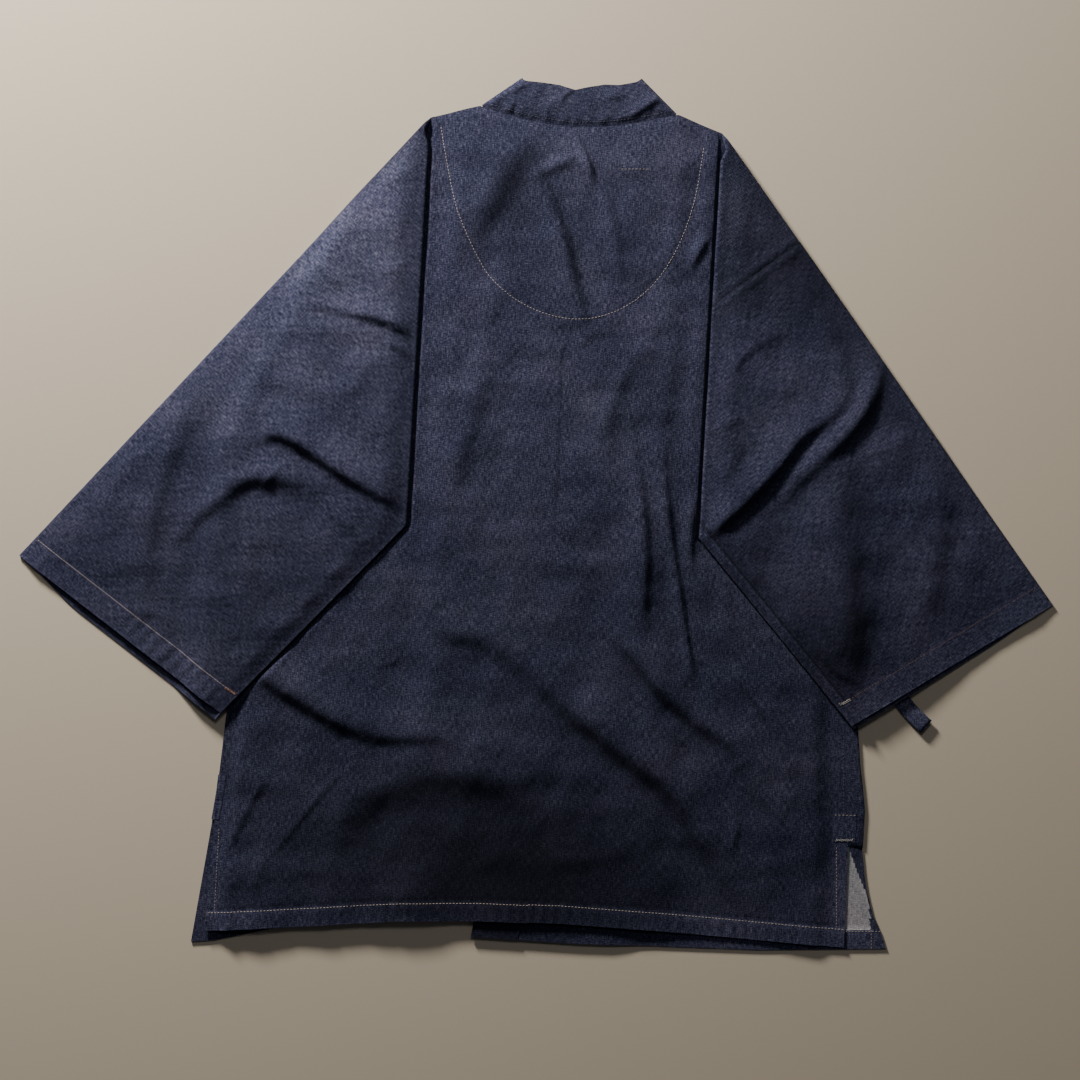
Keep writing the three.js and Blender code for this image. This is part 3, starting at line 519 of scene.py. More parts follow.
def sleeve_lift(side, u, v):
    """Relief of the folded-back sleeve, with its seam, cuff and rolled lower edge."""
    fu, fv, _ = fold_point(side, u, v)
    x = side.sign * fu
    from_crease = smooth((across_second_crease(side, u, v) - 3) / 24)
    from_top = smooth((side.shoulder[1] - v) / 20)
    under = v - along(side.underarm, u)
    from_under = smooth(under / 20)
    swell = SLEEVE_SWELL + 1.2 * folds_at(SLEEVE_FOLDS[side.name], x, fv)[0] + 1.2 * fine_waves(x, fv)
    before_cuff = along(side.cuff, v) - u
    to_cuff = side.cuff_swell + (1 - side.cuff_swell) * smooth(before_cuff / 90)
    soft = np.maximum(swell, 0) * from_crease * from_top * from_under * to_cuff
    past_seam = u - along(side.side, v)
    seam = bell((past_seam - 5) / 3.5) + 0.6 * bell((past_seam + 5) / 3.2)
    seam = side.seam_bulk * (seam - 0.5 * bell(past_seam / 1.2))
    seam *= smooth(across_second_crease(side, u, v) / 10) * smooth((side.shoulder[1] - v) / 8)
    cuff = 0.3 * (1 - smooth((before_cuff - CUFF_HEM) / 2)) + hem_pucker(v, before_cuff, CUFF_HEM)
    cuff -= 0.35 * bell((before_cuff - CUFF_HEM) / 1.4)
    roll = 2.0 * bell((under - 7) / 2.4) - 0.9 * bell((under - 12) / 2)
    under_roll = roll * smooth(past_seam / 20) * (side is RIGHT)
    return soft + seam + cuff * smooth(under / 6) * from_top + under_roll * from_crease


def top_lift(side, u, v):
    pu, pv = side.shoulder
    swung = (across_second_crease(side, u, v) > 0) & (u > pu)
    hidden = (v > side.lower_edge[0][1]) & (u - pu > (pv - v) * math.tan(side.turn / 2) - 2 * HALF_BEND)
    return np.where(swung, sleeve_lift(side, u, v), np.where(hidden, 0, body_lift(side, u, v)))


def layer_place(side, u, v, offset, rise):
    """A layer's surface: the fold, moved along its normal, then raised. Part-frame millimetres."""
    fu, fv, height = fold_point(side, u, v)
    normal = fold_normal(side, u, v)
    return np.stack([fu, fv, height + rise]) + normal * offset


def back_rise_at(side, u, v):
    fu, fv, _ = fold_point(side, u, v)
    return back_rise(side.sign * fu, fv) + top_lift(side, u, v)


probe = body_lift(RIGHT, np.linspace(5, 100, 60), np.full(60, -420.0))
print("relief across the back, mm:", round(float(probe.min()), 1), "to", round(float(probe.max()), 1))

# %% [markdown]
# ## Sheets of cloth from a grid
# A panel is a grid of columns down the cloth. The grid closes up where a crease leaves the panel, and close
# rows follow each crease, so the half circles stay round. The grid is then given two faces and a rim. Each
# corner keeps its place in the flat cut as its UV, in metres, so that the weave follows the cloth.

# %% Grid and wall helpers
def spread(first, last, count, crowd=1.0):
    """Evenly spaced values, or crowded towards the last one."""
    return [first + (last - first) * (1 - (1 - k / count) ** crowd) for k in range(count + 1)]


def column_stations(side, cut, column_u):
    """Where the rows of one column lie, from the top to the hem, close together at each crease."""
    pu, pv = side.shoulder

    def settle(rule, v):
        for _ in range(10):
            v = float(rule(float(column_u(v))))
        return v

    def crossing(angle):
        return settle(lambda u: max(pv - (u - pu) / math.tan(angle), -800), pv)

    top = settle(cut["top"], pv)
    bottom = settle(cut["bottom"], -400)
    upper = crossing(side.turn)
    body = cut["body"]
    lower = crossing(side.turn / 2) if body else bottom
    room = max(0, 0.45 * (upper - lower)) if body else 1e9
    upper_half = min(HALF_BEND / math.sin(side.turn), room)
    lower_half = min(HALF_BEND / math.sin(side.turn / 2), room)
    crowd = cut.get("crowd", 1.0)
    rows = spread(max(top, upper + upper_half), upper + upper_half, cut["swung"], crowd)
    rows += spread(upper + upper_half, upper - upper_half, 8)[1:]
    if body:
        rows += spread(upper - upper_half, lower + lower_half, cut["hidden"])[1:]
        rows += spread(lower + lower_half, lower - lower_half, 8)[1:]
        rows += spread(min(top, lower - lower_half), bottom + HEM_DEPTH, body)[1:]
        rows += [bottom + HEM_DEPTH - 1]
        rows += spread(bottom + HEM_DEPTH - 1, bottom, max(3, int(body / 34)))[1:]
    else:
        rows += spread(min(top, upper - upper_half), bottom, cut["hidden"])[1:]
        if upper + upper_half < bottom:
            full = spread(top, bottom, cut["swung"], crowd)
            rows = [full[min(k, cut["swung"])] for k in range(len(rows))]
    return np.clip(rows, bottom, top)


def grid_surface(columns):
    """Points of the flat cut and the faces between them, with closed-up cells left out."""
    grid = np.array(columns)
    flat = np.round(grid.reshape(-1, grid.shape[2]), 3)
    points, ids = np.unique(flat, axis=0, return_inverse=True)
    ids = ids.reshape(grid.shape[:2])
    faces = []
    for a, b, c, d in zip(
        ids[:-1, :-1].ravel(), ids[:-1, 1:].ravel(), ids[1:, 1:].ravel(), ids[1:, :-1].ravel()
    ):
        ring = list(dict.fromkeys((int(a), int(b), int(c), int(d))))
        if len(ring) > 2:
            faces.append(ring)
    return points, faces


def boundary_edges(faces):
    edges = set()
    for ring in faces:
        for a, b in zip(ring, ring[1:] + ring[:1]):
            if (b, a) in edges:
                edges.remove((b, a))
            else:
                edges.add((a, b))
    return sorted(edges)


def soft_spot(x, y, middle, reach):
    """A soft oval area: one in its middle, and nothing well past its reach."""
    return np.exp(-(((x - middle[0]) / reach[0]) ** 2) - ((y - middle[1]) / reach[1]) ** 2)


def painted_light_at(x, y):
    """Painted light and shade, 1 being none: light on the left sleeve and upper back, shade low in the middle
    and at a spot below the neck.
    """
    left = smooth((-135 - x) / 40) * smooth((y + 470) / 400)
    upper = smooth((y + 470) / 180) * smooth((142 - x) / 20) * smooth((x + 140) / 20)
    broad = ((x + 55) / 215) ** 4
    skirt = np.exp(-broad - ((y + 725) / 105) ** 2) * (0.75 + 0.25 * bell((x + 20) / 90))
    wedge = soft_spot(x + 0.25 * (y + 50), y, (-62, -58), (19, 42))
    return 1.0 + 1.08 * left + 0.26 * upper - 0.76 * skirt - 0.26 * wedge


def mesh_piece(name, side, places, cut_points, faces, slots, rims=0, folds=(), tone_and_light=1.0):
    """A mesh from part-frame places in mm; the last rims faces are its edges, which stay crisp."""
    xyz = np.array(places, float)
    xyz[:, 0] *= side.sign
    x, y = xyz.T[:2]
    # Painted light and shade over the jacket, with painted shade where a fold drops steeply, times the
    # piece's own paleness and painted light.
    wear = painted_light_at(x, y) * (1 - 0.1 * np.clip(folds_at(folds, x, y)[1], 0, 6))
    wear *= np.resize(tone_and_light, len(wear))
    xyz[:, :2] -= JACKET_CENTRE
    rings = [ring[::-1] for ring in faces] if side.sign < 0 else faces
    mesh = bpy.data.meshes.new(name)
    mesh.from_pydata(xyz * MM, [], rings)
    uv = mesh.uv_layers.new(name="cut")
    corner = np.zeros(len(mesh.loops), np.int32)
    mesh.loops.foreach_get("vertex_index", corner)
    on_cut = np.array(cut_points)[:, :2][corner % len(cut_points)] * [side.sign * MM, MM]
    uv.data.foreach_set("uv", on_cut.ravel())
    mesh.attributes.new("wear", "FLOAT", "POINT").data.foreach_set("value", wear.astype(np.float32))
    smooth_flags = np.ones(len(faces), bool)
    if rims:
        smooth_flags[-rims:] = False
        edge_of = np.zeros(len(mesh.loops), np.int32)
        mesh.loops.foreach_get("edge_index", edge_of)
        crisp = np.zeros(len(mesh.edges), bool)
        crisp[edge_of[mesh.polygons[len(faces) - rims].loop_start :]] = True
        mesh.edges.foreach_set("use_edge_sharp", crisp)
    mesh.polygons.foreach_set("use_smooth", smooth_flags)
    mesh.polygons.foreach_set("material_index", np.array(slots, np.int32))
    mesh.update()
    piece = bpy.data.objects.new(name, mesh)
    bpy.context.scene.collection.objects.link(piece)
    return piece


OUTSIDE, INSIDE = 0, 1  # material slots: the dark face of the denim, and its pale wrong side


def two_sided(faces, count):
    """The faces, the same ones turned over below them, and a rim between; then how many are rim."""
    under = [[k + count for k in ring[::-1]] for ring in faces]
    rims = [[a, a + count, b + count, b] for a, b in boundary_edges(faces)]
    return faces + under + rims, len(rims)


def wall(name, side, surface, upper, lower, upper_slots, lower_slots, folds=(), tone_and_light=lambda u, v: 1.0):
    """A sheet with real thickness, from its cut and two functions that place its faces."""
    points, faces = surface
    u, v = points.T[:2]
    everything, rims = two_sided(faces, len(points))
    slots = [*upper_slots, *lower_slots, *[OUTSIDE] * rims]
    places = np.concatenate([upper(u, v).T, lower(u, v).T])
    return mesh_piece(name, side, places, points, everything, slots, rims, folds, tone_and_light(u, v))


def face_middles(surface):
    points, faces = surface
    return np.array([points[ring].mean(0) for ring in faces])


trial = [[[u, v] for v in range(3)] for u in range(3)]
print("a trial grid of 3 by 3 corners has", len(grid_surface(trial)[1]), "faces")

# %% [markdown]
# ## Denim
# Denim is a warp-faced cotton twill: indigo-dyed warp threads cross undyed weft, so its face is dark blue
# with pale flecks and its back is pale grey. Yarn is uneven, which leaves short streaks down the warp. The
# real twill line is about 0.9 mm apart and barely shows from here, so it is drawn at its size but faint,
# and the slubs and flecks, which do show, carry the look. The cloth is matt with a little nap. Each point's
# colour is scaled by a value that holds painted light and shade (lighter towards the upper left, darker
# towards the hem's middle and where folds drop steeply, lighter on pieces that lie in shadow) and paler
# hems, cuffs and edges; where it is paler it is also greyer.

# %% Materials
def linear(hex_colour):
    values = [int(hex_colour[k : k + 2], 16) / 255 for k in (1, 3, 5)]
    return tuple(c / 12.92 if c <= 0.04045 else ((c + 0.055) / 1.055) ** 2.4 for c in values) + (1.0,)


def add(tree, kind, links=None, values=None, **settings):
    """Adds a node with its settings, values {socket: value} and links {socket: (node, output)}."""
    node = tree.nodes.new(kind)
    for socket, value in (values or {}).items():
        node.inputs[socket].default_value = value
    for key, value in settings.items():
        if hasattr(node, key):
            setattr(node, key, value)
        else:
            node.inputs[key.replace("_", " ")].default_value = value
    for socket, (source, output) in (links or {}).items():
        tree.links.new(source.outputs[output], node.inputs[socket])
    return node


def ramp_colours(node, stops):
    elements = node.color_ramp.elements
    while len(elements) < len(stops):
        elements.new(0.5)
    for element, (place, colour) in zip(elements, stops):
        element.position = place
        element.color = linear(colour)


TWILL_LINE = 0.9 * MM
SLUB_WIDTH = 0.9 * MM
SLUB_LENGTH = 7 * MM
FLECK = 1.0 * MM
CLOUD = 70 * MM  # size of the broad uneven patches of dye
YARN_HEIGHT = 0.9 * MM
# sockets 1 and 2 of a multiply-add: how far red, green and blue follow the clouds, and the painted light and
# wear, and their base
CLOUD_TINT = {1: (0.14, 0.12, 0.1), 2: (0.92, 0.93, 0.99)}
LIGHT_AND_WEAR_TINT = {1: (0.1, 0.06, -0.05), 2: (0.9, 0.94, 1.05)}  # where painted light and wear make it paler, it loses blue


def woven_denim(name, dark, mid, light):
    material = bpy.data.materials.new(name)
    material.use_nodes = True
    tree = material.node_tree
    shader = tree.nodes["Principled BSDF"]
    cut = (add(tree, "ShaderNodeTexCoord"), "UV")
    warp_size = {"Scale": (1 / SLUB_WIDTH, 1 / SLUB_LENGTH, 1)}
    weft_size = {"Scale": (1 / (SLUB_LENGTH * 0.5), 1 / SLUB_WIDTH, 1)}
    warp = (add(tree, "ShaderNodeMapping", {"Vector": cut}, warp_size), "Vector")
    slubs = add(tree, "ShaderNodeTexNoise", {"Vector": warp}, Scale=1.0, Detail=2.0, Roughness=0.6)
    weft = (add(tree, "ShaderNodeMapping", {"Vector": cut}, weft_size), "Vector")
    cross = add(tree, "ShaderNodeTexNoise", {"Vector": weft}, Scale=1.0, Detail=2.0)
    fleck = add(tree, "ShaderNodeTexNoise", {"Vector": cut}, Scale=1 / FLECK, Detail=3.0, Roughness=0.7)
    cloud = add(tree, "ShaderNodeTexNoise", {"Vector": cut}, Scale=1 / CLOUD, Detail=3.0)
    yarn = add(tree, "ShaderNodeMath", {0: (slubs, "Fac"), 1: (cross, "Fac")}, operation="ADD")
    mixed = add(tree, "ShaderNodeMath", {0: (yarn, 0), 1: (fleck, "Fac")}, operation="ADD")
    third = add(tree, "ShaderNodeMath", {0: (mixed, 0)}, {1: 1 / 3}, operation="MULTIPLY")
    summed = {0: (cloud, "Fac"), 2: (third, 0)}
    clouded = add(tree, "ShaderNodeMath", summed, {1: 0.12}, operation="MULTIPLY_ADD")
    colours = add(tree, "ShaderNodeValToRGB", {"Fac": (clouded, 0)})
    ramp_colours(colours, [(0.47, dark), (0.56, mid), (0.68, light)])
    # each point's painted light and wear scales the ramp's colour, and greys it where it is paler
    wear = (add(tree, "ShaderNodeAttribute", attribute_name="wear"), "Fac")
    colour_by_light_and_wear = add(tree, "ShaderNodeVectorMath", {0: (colours, "Color"), 1: wear}, operation="MULTIPLY")
    tint = add(tree, "ShaderNodeVectorMath", {0: (cloud, "Color")}, CLOUD_TINT, operation="MULTIPLY_ADD")
    dyed = add(
        tree, "ShaderNodeVectorMath", {0: (colour_by_light_and_wear, "Vector"), 1: (tint, "Vector")}, operation="MULTIPLY"
    )
    tint_by_light_and_wear = add(tree, "ShaderNodeVectorMath", {0: wear}, LIGHT_AND_WEAR_TINT, operation="MULTIPLY_ADD")
    lit_and_aged = add(
        tree, "ShaderNodeVectorMath", {0: (dyed, "Vector"), 1: (tint_by_light_and_wear, "Vector")}, operation="MULTIPLY"
    )
    tree.links.new(lit_and_aged.outputs["Vector"], shader.inputs["Base Color"])
    lines = add(
        tree,
        "ShaderNodeTexWave",
        {"Vector": cut},
        {"Scale": 1 / (TWILL_LINE * 20)},
        wave_type="BANDS",
        bands_direction="DIAGONAL",
    )
    relief = {0: (lines, "Fac"), 2: (third, 0)}
    height = add(tree, "ShaderNodeMath", relief, {1: 0.25}, operation="MULTIPLY_ADD")
    bump = add(tree, "ShaderNodeBump", {"Height": (height, 0)}, Strength=0.35, Distance=YARN_HEIGHT)
    tree.links.new(bump.outputs["Normal"], shader.inputs["Normal"])
    shader.inputs["Roughness"].default_value = 0.92
    shader.inputs["Specular IOR Level"].default_value = 0.15
    shader.inputs["Sheen Weight"].default_value = 0.08
    shader.inputs["Sheen Tint"].default_value = linear("#b8c2e6")
    shader.inputs["Sheen Roughness"].default_value = 0.5
    return material


DENIM = woven_denim("indigo twill denim, face", "#0c0f22", "#272a3f", "#515265")
DENIM_BACK = woven_denim("indigo twill denim, wrong side", "#6a6d72", "#8a8c90", "#b2b1ae")


def cotton_thread(name, colour):
    material = bpy.data.materials.new(name)
    material.use_nodes = True
    shader = material.node_tree.nodes["Principled BSDF"]
    shader.inputs["Base Color"].default_value = linear(colour)
    shader.inputs["Roughness"].default_value = 0.6
    shader.inputs["Sheen Weight"].default_value = 0.2
    return material


CREAM_THREAD = cotton_thread("cream cotton thread", "#b3a79e")
WHITE_THREAD = cotton_thread("white cotton thread", "#b4afa8")
ORANGE_THREAD = cotton_thread("orange cotton thread", "#9c6a44")
SLATE_THREAD = cotton_thread("slate cotton thread", "#504f62")
BROWN_THREAD = cotton_thread("brown cotton thread", "#5b4238")
print("materials:", len(bpy.data.materials))


def dress(piece, *nodes):
    for material in (DENIM, DENIM_BACK):
        piece.data.materials.append(material)
    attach(piece, "root")
    if nodes:
        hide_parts(*nodes)
    return piece


# %% [markdown]
# ## The back and the fronts
# Each is one sheet of cloth a millimetre thick. The back lies dark side up. The fronts lie dark side down,
# so their pale wrong side faces up, but for the hems, where the dark face is turned over onto it. Above its
# slit the right front runs past the side seam, turns up round the edge and meets the back on top.

# %% Body panels
# columns past the shoulder point lie close together where the creases leave it
OUTER_SHARES = [0.01, 0.02, 0.035, 0.05, 0.07, 0.1, 0.13, 0.17, 0.22]


def panel_surface(side, cut):
    pu = side.shoulder[0]
    shares = spread(0, 0.95, cut["inner_count"]) + spread(0.95, 1, cut["by_pleat"])[1:]
    inner = [lambda v, s=s: cut["inner"](v) + (pu - cut["inner"](v)) * s for s in shares]
    shares = OUTER_SHARES + spread(0.22, 0.86, cut["outer_count"])[1:] + spread(0.86, 1, cut["by_side"])[1:]
    outer = [lambda v, s=s: pu + (cut["outer"](v) - pu) * s for s in shares]
    columns = []
    for column_u in inner + outer:
        stations = column_stations(side, cut, column_u)
        columns.append(np.stack([column_u(stations), stations], axis=1))
    for column_u in cut["wrap"]:
        columns.append(np.stack([column_u(stations), stations], axis=1))
    return grid_surface(columns)


def hem_share(table, u, v):
    return (v < along(table, u) + HEM_DEPTH - 0.5) * 1.0


def back_tone_and_light(side, u, v):
    """Hems stand up and are paler, as are the hem's edge and the slit edges, and the lower centre seam's
    groove is darker; where the back swings round with the sleeve there is painted light on the left and
    painted shade on the right.
    """
    above_hem = v - along(side.hem, u)
    from_slit = along(side.side, v) - u
    band = 1 - smooth((above_hem - HEM_DEPTH + 2) / 2)
    slit = (1 - smooth((from_slit - 10) / 3)) * (v < -660)
    groove = bell((u - centre_seam(side, v)) / 1.3) * (v < -185) * smooth((v + 480) / 150)
    edge = bell(above_hem / 1.5)
    swung = smooth(across_second_crease(side, u, v) / 6) * (u > side.shoulder[0])
    return (1 + 0.4 * np.maximum(band, slit) + 0.3 * edge - 0.35 * groove) * (1 + side.swung_light * swung)


def back_panel(side):
    cut = {
        "inner": lambda v: centre_seam(side, v),
        "outer": lambda v: along(side.side, v),
        "top": lambda u: top_edge(side, u),
        "bottom": lambda u: along(side.hem, u),
        "inner_count": 56,
        "by_pleat": 8,
        "outer_count": 40,
        "by_side": 10,
        "wrap": [],
        "swung": 36,
        "hidden": 10,
        "body": 236,
    }
    surface = panel_surface(side, cut)

    def at(u, v, offset):
        return layer_place(side, u, v, offset, back_rise_at(side, u, v))

    middles = face_middles(surface)
    count = len(middles)
    under = np.where(hem_share(side.hem, *middles.T[:2]) > 0, OUTSIDE, INSIDE)
    return wall(
        f"back_{side.name}_cloth",
        side,
        surface,
        lambda u, v: at(u, v, (PITCH + CLOTH) / 2 + HEM_EXTRA * hem_share(side.hem, u, v)),
        lambda u, v: at(u, v, (PITCH - CLOTH) / 2),
        [OUTSIDE] * count,
        under,
        BODY_FOLDS,
        lambda u, v: back_tone_and_light(side, u, v),
    )


WRAP_RADIUS = PITCH / 2


def wrap_length(side, v):
    width = along(side.front_side, v) - along(side.side, v) - CLOSED_SEAM
    if side.wrap_end is None:
        return 0 * width
    return np.where((width > 4) & (v > side.wrap_end), width + math.pi * WRAP_RADIUS, 0)


def wrap_columns(side):
    if side.wrap_end is None:
        return []

    def bend(v):
        return np.minimum(wrap_length(side, v), math.pi * WRAP_RADIUS)

    turning = [lambda v, s=s: along(side.front_side, v) + s * bend(v) for s in spread(0, 1, 8)[1:]]
    over = [
        lambda v, s=s: along(side.front_side, v) + bend(v) + s * (wrap_length(side, v) - bend(v))
        for s in spread(0, 1, 5)[1:]
    ]
    return turning + over


def wrap_place(side, u, v, offset):
    fold = along(side.front_side, v)
    turn = np.clip((u - fold) / WRAP_RADIUS, 0, math.pi)
    over = np.maximum(u - fold - math.pi * WRAP_RADIUS, 0)
    radius = WRAP_RADIUS - offset
    return np.stack([fold + radius * np.sin(turn) - over, v, FLOOR_MIDDLE - radius * np.cos(turn)])


def front_height(side, u, v):
    x = side.sign * u
    at_shoulder = back_rise(x, v) * (1 - smooth((top_edge(side, u) - v) / SHOULDER_RISE))
    return np.maximum(front_rise(side, x, v), np.where(u < side.shoulder[0], at_shoulder, 0))


def front_panel(side):
    cut = {
        "inner": lambda v: band_seam(side, v) + SEAM_GAP + 3 * smooth((v + 12) / 20),
        "outer": lambda v: along(side.front_side, v),
        "top": lambda u: top_edge(side, u),
        "bottom": lambda u: along(side.front_hem, u),
        "inner_count": 10,
        "by_pleat": 1,
        "outer_count": 16,
        "by_side": 18,
        "wrap": wrap_columns(side),
        "swung": 14,
        "hidden": 8,
        "body": 102,
    }
    surface = panel_surface(side, cut)

    def at(u, v, offset):
        flat = layer_place(side, u, v, offset - PITCH / 2, front_height(side, u, v))
        past = u > along(side.front_side, v) + 0.01
        return np.where(past, wrap_place(side, u, v, offset), flat)

    def turned(u, v):
        strip = (v < STRIP_TOP) & (u > along(side.strip, v))
        return np.maximum(hem_share(side.front_hem, u, v), strip * 1.0)

    def upper(u, v):
        flat = u <= along(side.front_side, v) + 0.01
        return at(u, v, CLOTH / 2 + TURNED_EXTRA * turned(u, v) * flat)

    # Painted light: the fronts lie in the back's shade, so they are made paler, the right front's hem most.
    def tone_and_light(u, v):
        if side is LEFT:
            return 1.2 + 0 * u
        return 1.1 + 0.5 * hem_share(side.front_hem, u, v)

    middles = face_middles(surface).T[:2]
    upper_slots = np.where(turned(*middles) > 0, OUTSIDE, INSIDE)
    return wall(
        f"front_{side.name}_cloth",
        side,
        surface,
        upper,
        lambda u, v: at(u, v, -CLOTH / 2),
        upper_slots,
        [OUTSIDE] * len(upper_slots),
        tone_and_light=tone_and_light,
    )


panels = {}
for side in (LEFT, RIGHT):
    panels[f"back_{side.name}"] = dress(back_panel(side), f"back_{side.name}")
    panels[f"front_{side.name}"] = dress(front_panel(side), f"front_{side.name}")
for name, piece in panels.items():
    print(name, len(piece.data.polygons), "faces")

# %% [markdown]
# ## The sleeves
# A kimono sleeve is one straight piece folded along its top and sewn underneath, so it is a flattened tube.
# The back and front layers come from the same grid, joined by a round turn along both long edges and left
# open at the armhole and the cuff. The hidden corner of each sleeve is inside the pleat.

# %% Sleeves
def sleeve_surface(side):
    cut = {
        "top": lambda u: side.shoulder[1],
        "bottom": lambda u: along(side.underarm, u),
        "swung": 96,
        "hidden": 8,
        "body": 0,
        "crowd": 1.5,
    }
    columns = []
    for share in spread(0, 1, 150):
        def column_u(v, s=share):
            inner = along(side.side, v) + CLOSED_SEAM
            return inner + (along(side.cuff, v) - inner) * s

        stations = column_stations(side, cut, column_u)
        columns.append(np.stack([column_u(stations), stations], axis=1))
    return grid_surface(columns)


def right_sleeve_light(x, y):
    """Painted light and shade on the right sleeve: shade along its top, beside the pleat, on its inner part
    and in the hollow by its corner, and light lower down.
    """
    hollow = soft_spot(x, y, (270, -490), (45, 60))
    inner = soft_spot(x, y, (185, -420), (40, 60))
    by_pleat = soft_spot(x, y, (172, -292), (34, 62))
    return 0.5 + 0.72 * smooth((-110 - y) / 130) - 0.72 * hollow - 0.5 * inner - 0.24 * by_pleat


def sleeve_tone_and_light(side, u, v):
    """Paler at the cuff and darker in the armhole seam's groove; on the right sleeve, painted light and
    shade, and a painted highlight and shadow line along the rolled lower edge.
    """
    before_cuff = along(side.cuff, v) - u
    tone_and_light = 1 + 0.15 * (before_cuff < CUFF_HEM) + 0.3 * bell(before_cuff / 1.5)
    if side is RIGHT:
        under = v - along(side.underarm, u)
        # a painted highlight on the roll and a painted shadow line in the groove beside it
        rolled = 0.45 * bell((under - 6) / 2) - 0.85 * bell((under - 10) / 1.1)
        tone_and_light += rolled * (before_cuff > CUFF_HEM)
        tone_and_light *= right_sleeve_light(*fold_point(side, u, v)[:2])
    return tone_and_light - side.seam_dark * bell((u - along(side.side, v)) / 1.6)


def sleeve(side):
    points, faces = sleeve_surface(side)
    u, v = points.T[:2]
    count = len(points)
    is_top = np.abs(v - side.shoulder[1]) < 0.02
    is_under = np.abs(v - along(side.underarm, u)) < 0.02
    inset, bulge = 1.3 * CLOTH, 0.6 * CLOTH
    inward = v - is_top * inset + is_under * inset
    outward = v + is_top * bulge - is_under * bulge
    slip = side.cuff_slip * smooth(1 - (along(side.cuff, v) - u) / 60) * smooth((side.shoulder[1] - v) / 80)
    down_sleeve = np.array([[math.cos(side.turn)], [-math.sin(side.turn)], [0]])

    def back_at(rows_v, offset):
        return layer_place(side, u, rows_v, offset, top_lift(side, u, rows_v)).T

    def front_at(rows_v, offset):
        return (layer_place(side, u, rows_v, -offset, 0 * u) + down_sleeve * slip).T

    outer_gap, inner_gap = (PITCH + CLOTH) / 2, (PITCH - CLOTH) / 2
    places = np.concatenate(
        [
            back_at(v, outer_gap),
            back_at(inward, inner_gap),
            front_at(inward, inner_gap),
            front_at(v, outer_gap),
            front_at(outward, 0),
        ]
    )
    back_in, front_in, front_out, turn = (layer * count for layer in (1, 2, 3, 4))

    def shifted(shift, step):
        return [[k + shift for k in ring[::step]] for ring in faces]

    shell = [*faces, *shifted(back_in, -1), *shifted(front_in, 1), *shifted(front_out, -1)]
    middles = face_middles((points, faces))
    lining = np.where(along(side.cuff, middles[:, 1]) - middles[:, 0] < CUFF_HEM, OUTSIDE, INSIDE)
    slots = [OUTSIDE] * len(faces) + [*lining, *lining] + [OUTSIDE] * len(faces)
    edges = boundary_edges(faces)
    joined = {(a, b): bool((is_top[a] and is_top[b]) or (is_under[a] and is_under[b])) for a, b in edges}
    turns, rims = [], []
    for (a, b), closed in joined.items():
        if closed:
            turns.append([a, a + turn, b + turn, b])
            turns.append([a + turn, a + front_out, b + front_out, b + turn])
            turns.append([a + back_in, b + back_in, b + front_in, a + front_in])
        else:
            rims.append([a, a + back_in, b + back_in, b])
            rims.append([a + front_in, a + front_out, b + front_out, b + front_in])
    following = {a: (a, b) for a, b in edges}
    for edge in edges:
        k = edge[1]
        if joined[edge] == joined[following[k]]:
            continue
        ring = [k, k + turn, k + front_out, k + front_in, k + back_in]
        rims.append(ring if joined[edge] else ring[::-1])
    slots += [OUTSIDE] * (len(turns) + len(rims))
    name = f"sleeve_{side.name}_cloth"
    folds = SLEEVE_FOLDS[side.name]
    tone_and_light = sleeve_tone_and_light(side, u, v)
    return mesh_piece(name, side, places, points, shell + turns + rims, slots, len(rims), folds, tone_and_light)


for side in (LEFT, RIGHT):
    panels[f"sleeve_{side.name}"] = dress(sleeve(side), f"sleeve_{side.name}")
    print(side.name, "sleeve", len(panels[f"sleeve_{side.name}"].data.polygons), "faces")

# %% [markdown]
# ## The collar
# The collar is a straight band, doubled, seamed at the centre back. At the neck it lies up over the
# shoulders' line; at each side of the neck it folds over and runs down the front edge to the hem. It is
# made in rows across the band, so that the fold is a true half circle.

# %% Collar
BAND_LAST_LEVEL = -740  # the band's last level row, before it slants to the hem
NECK_STEPS = 46  # steps along the neck, from the centre back to the fold


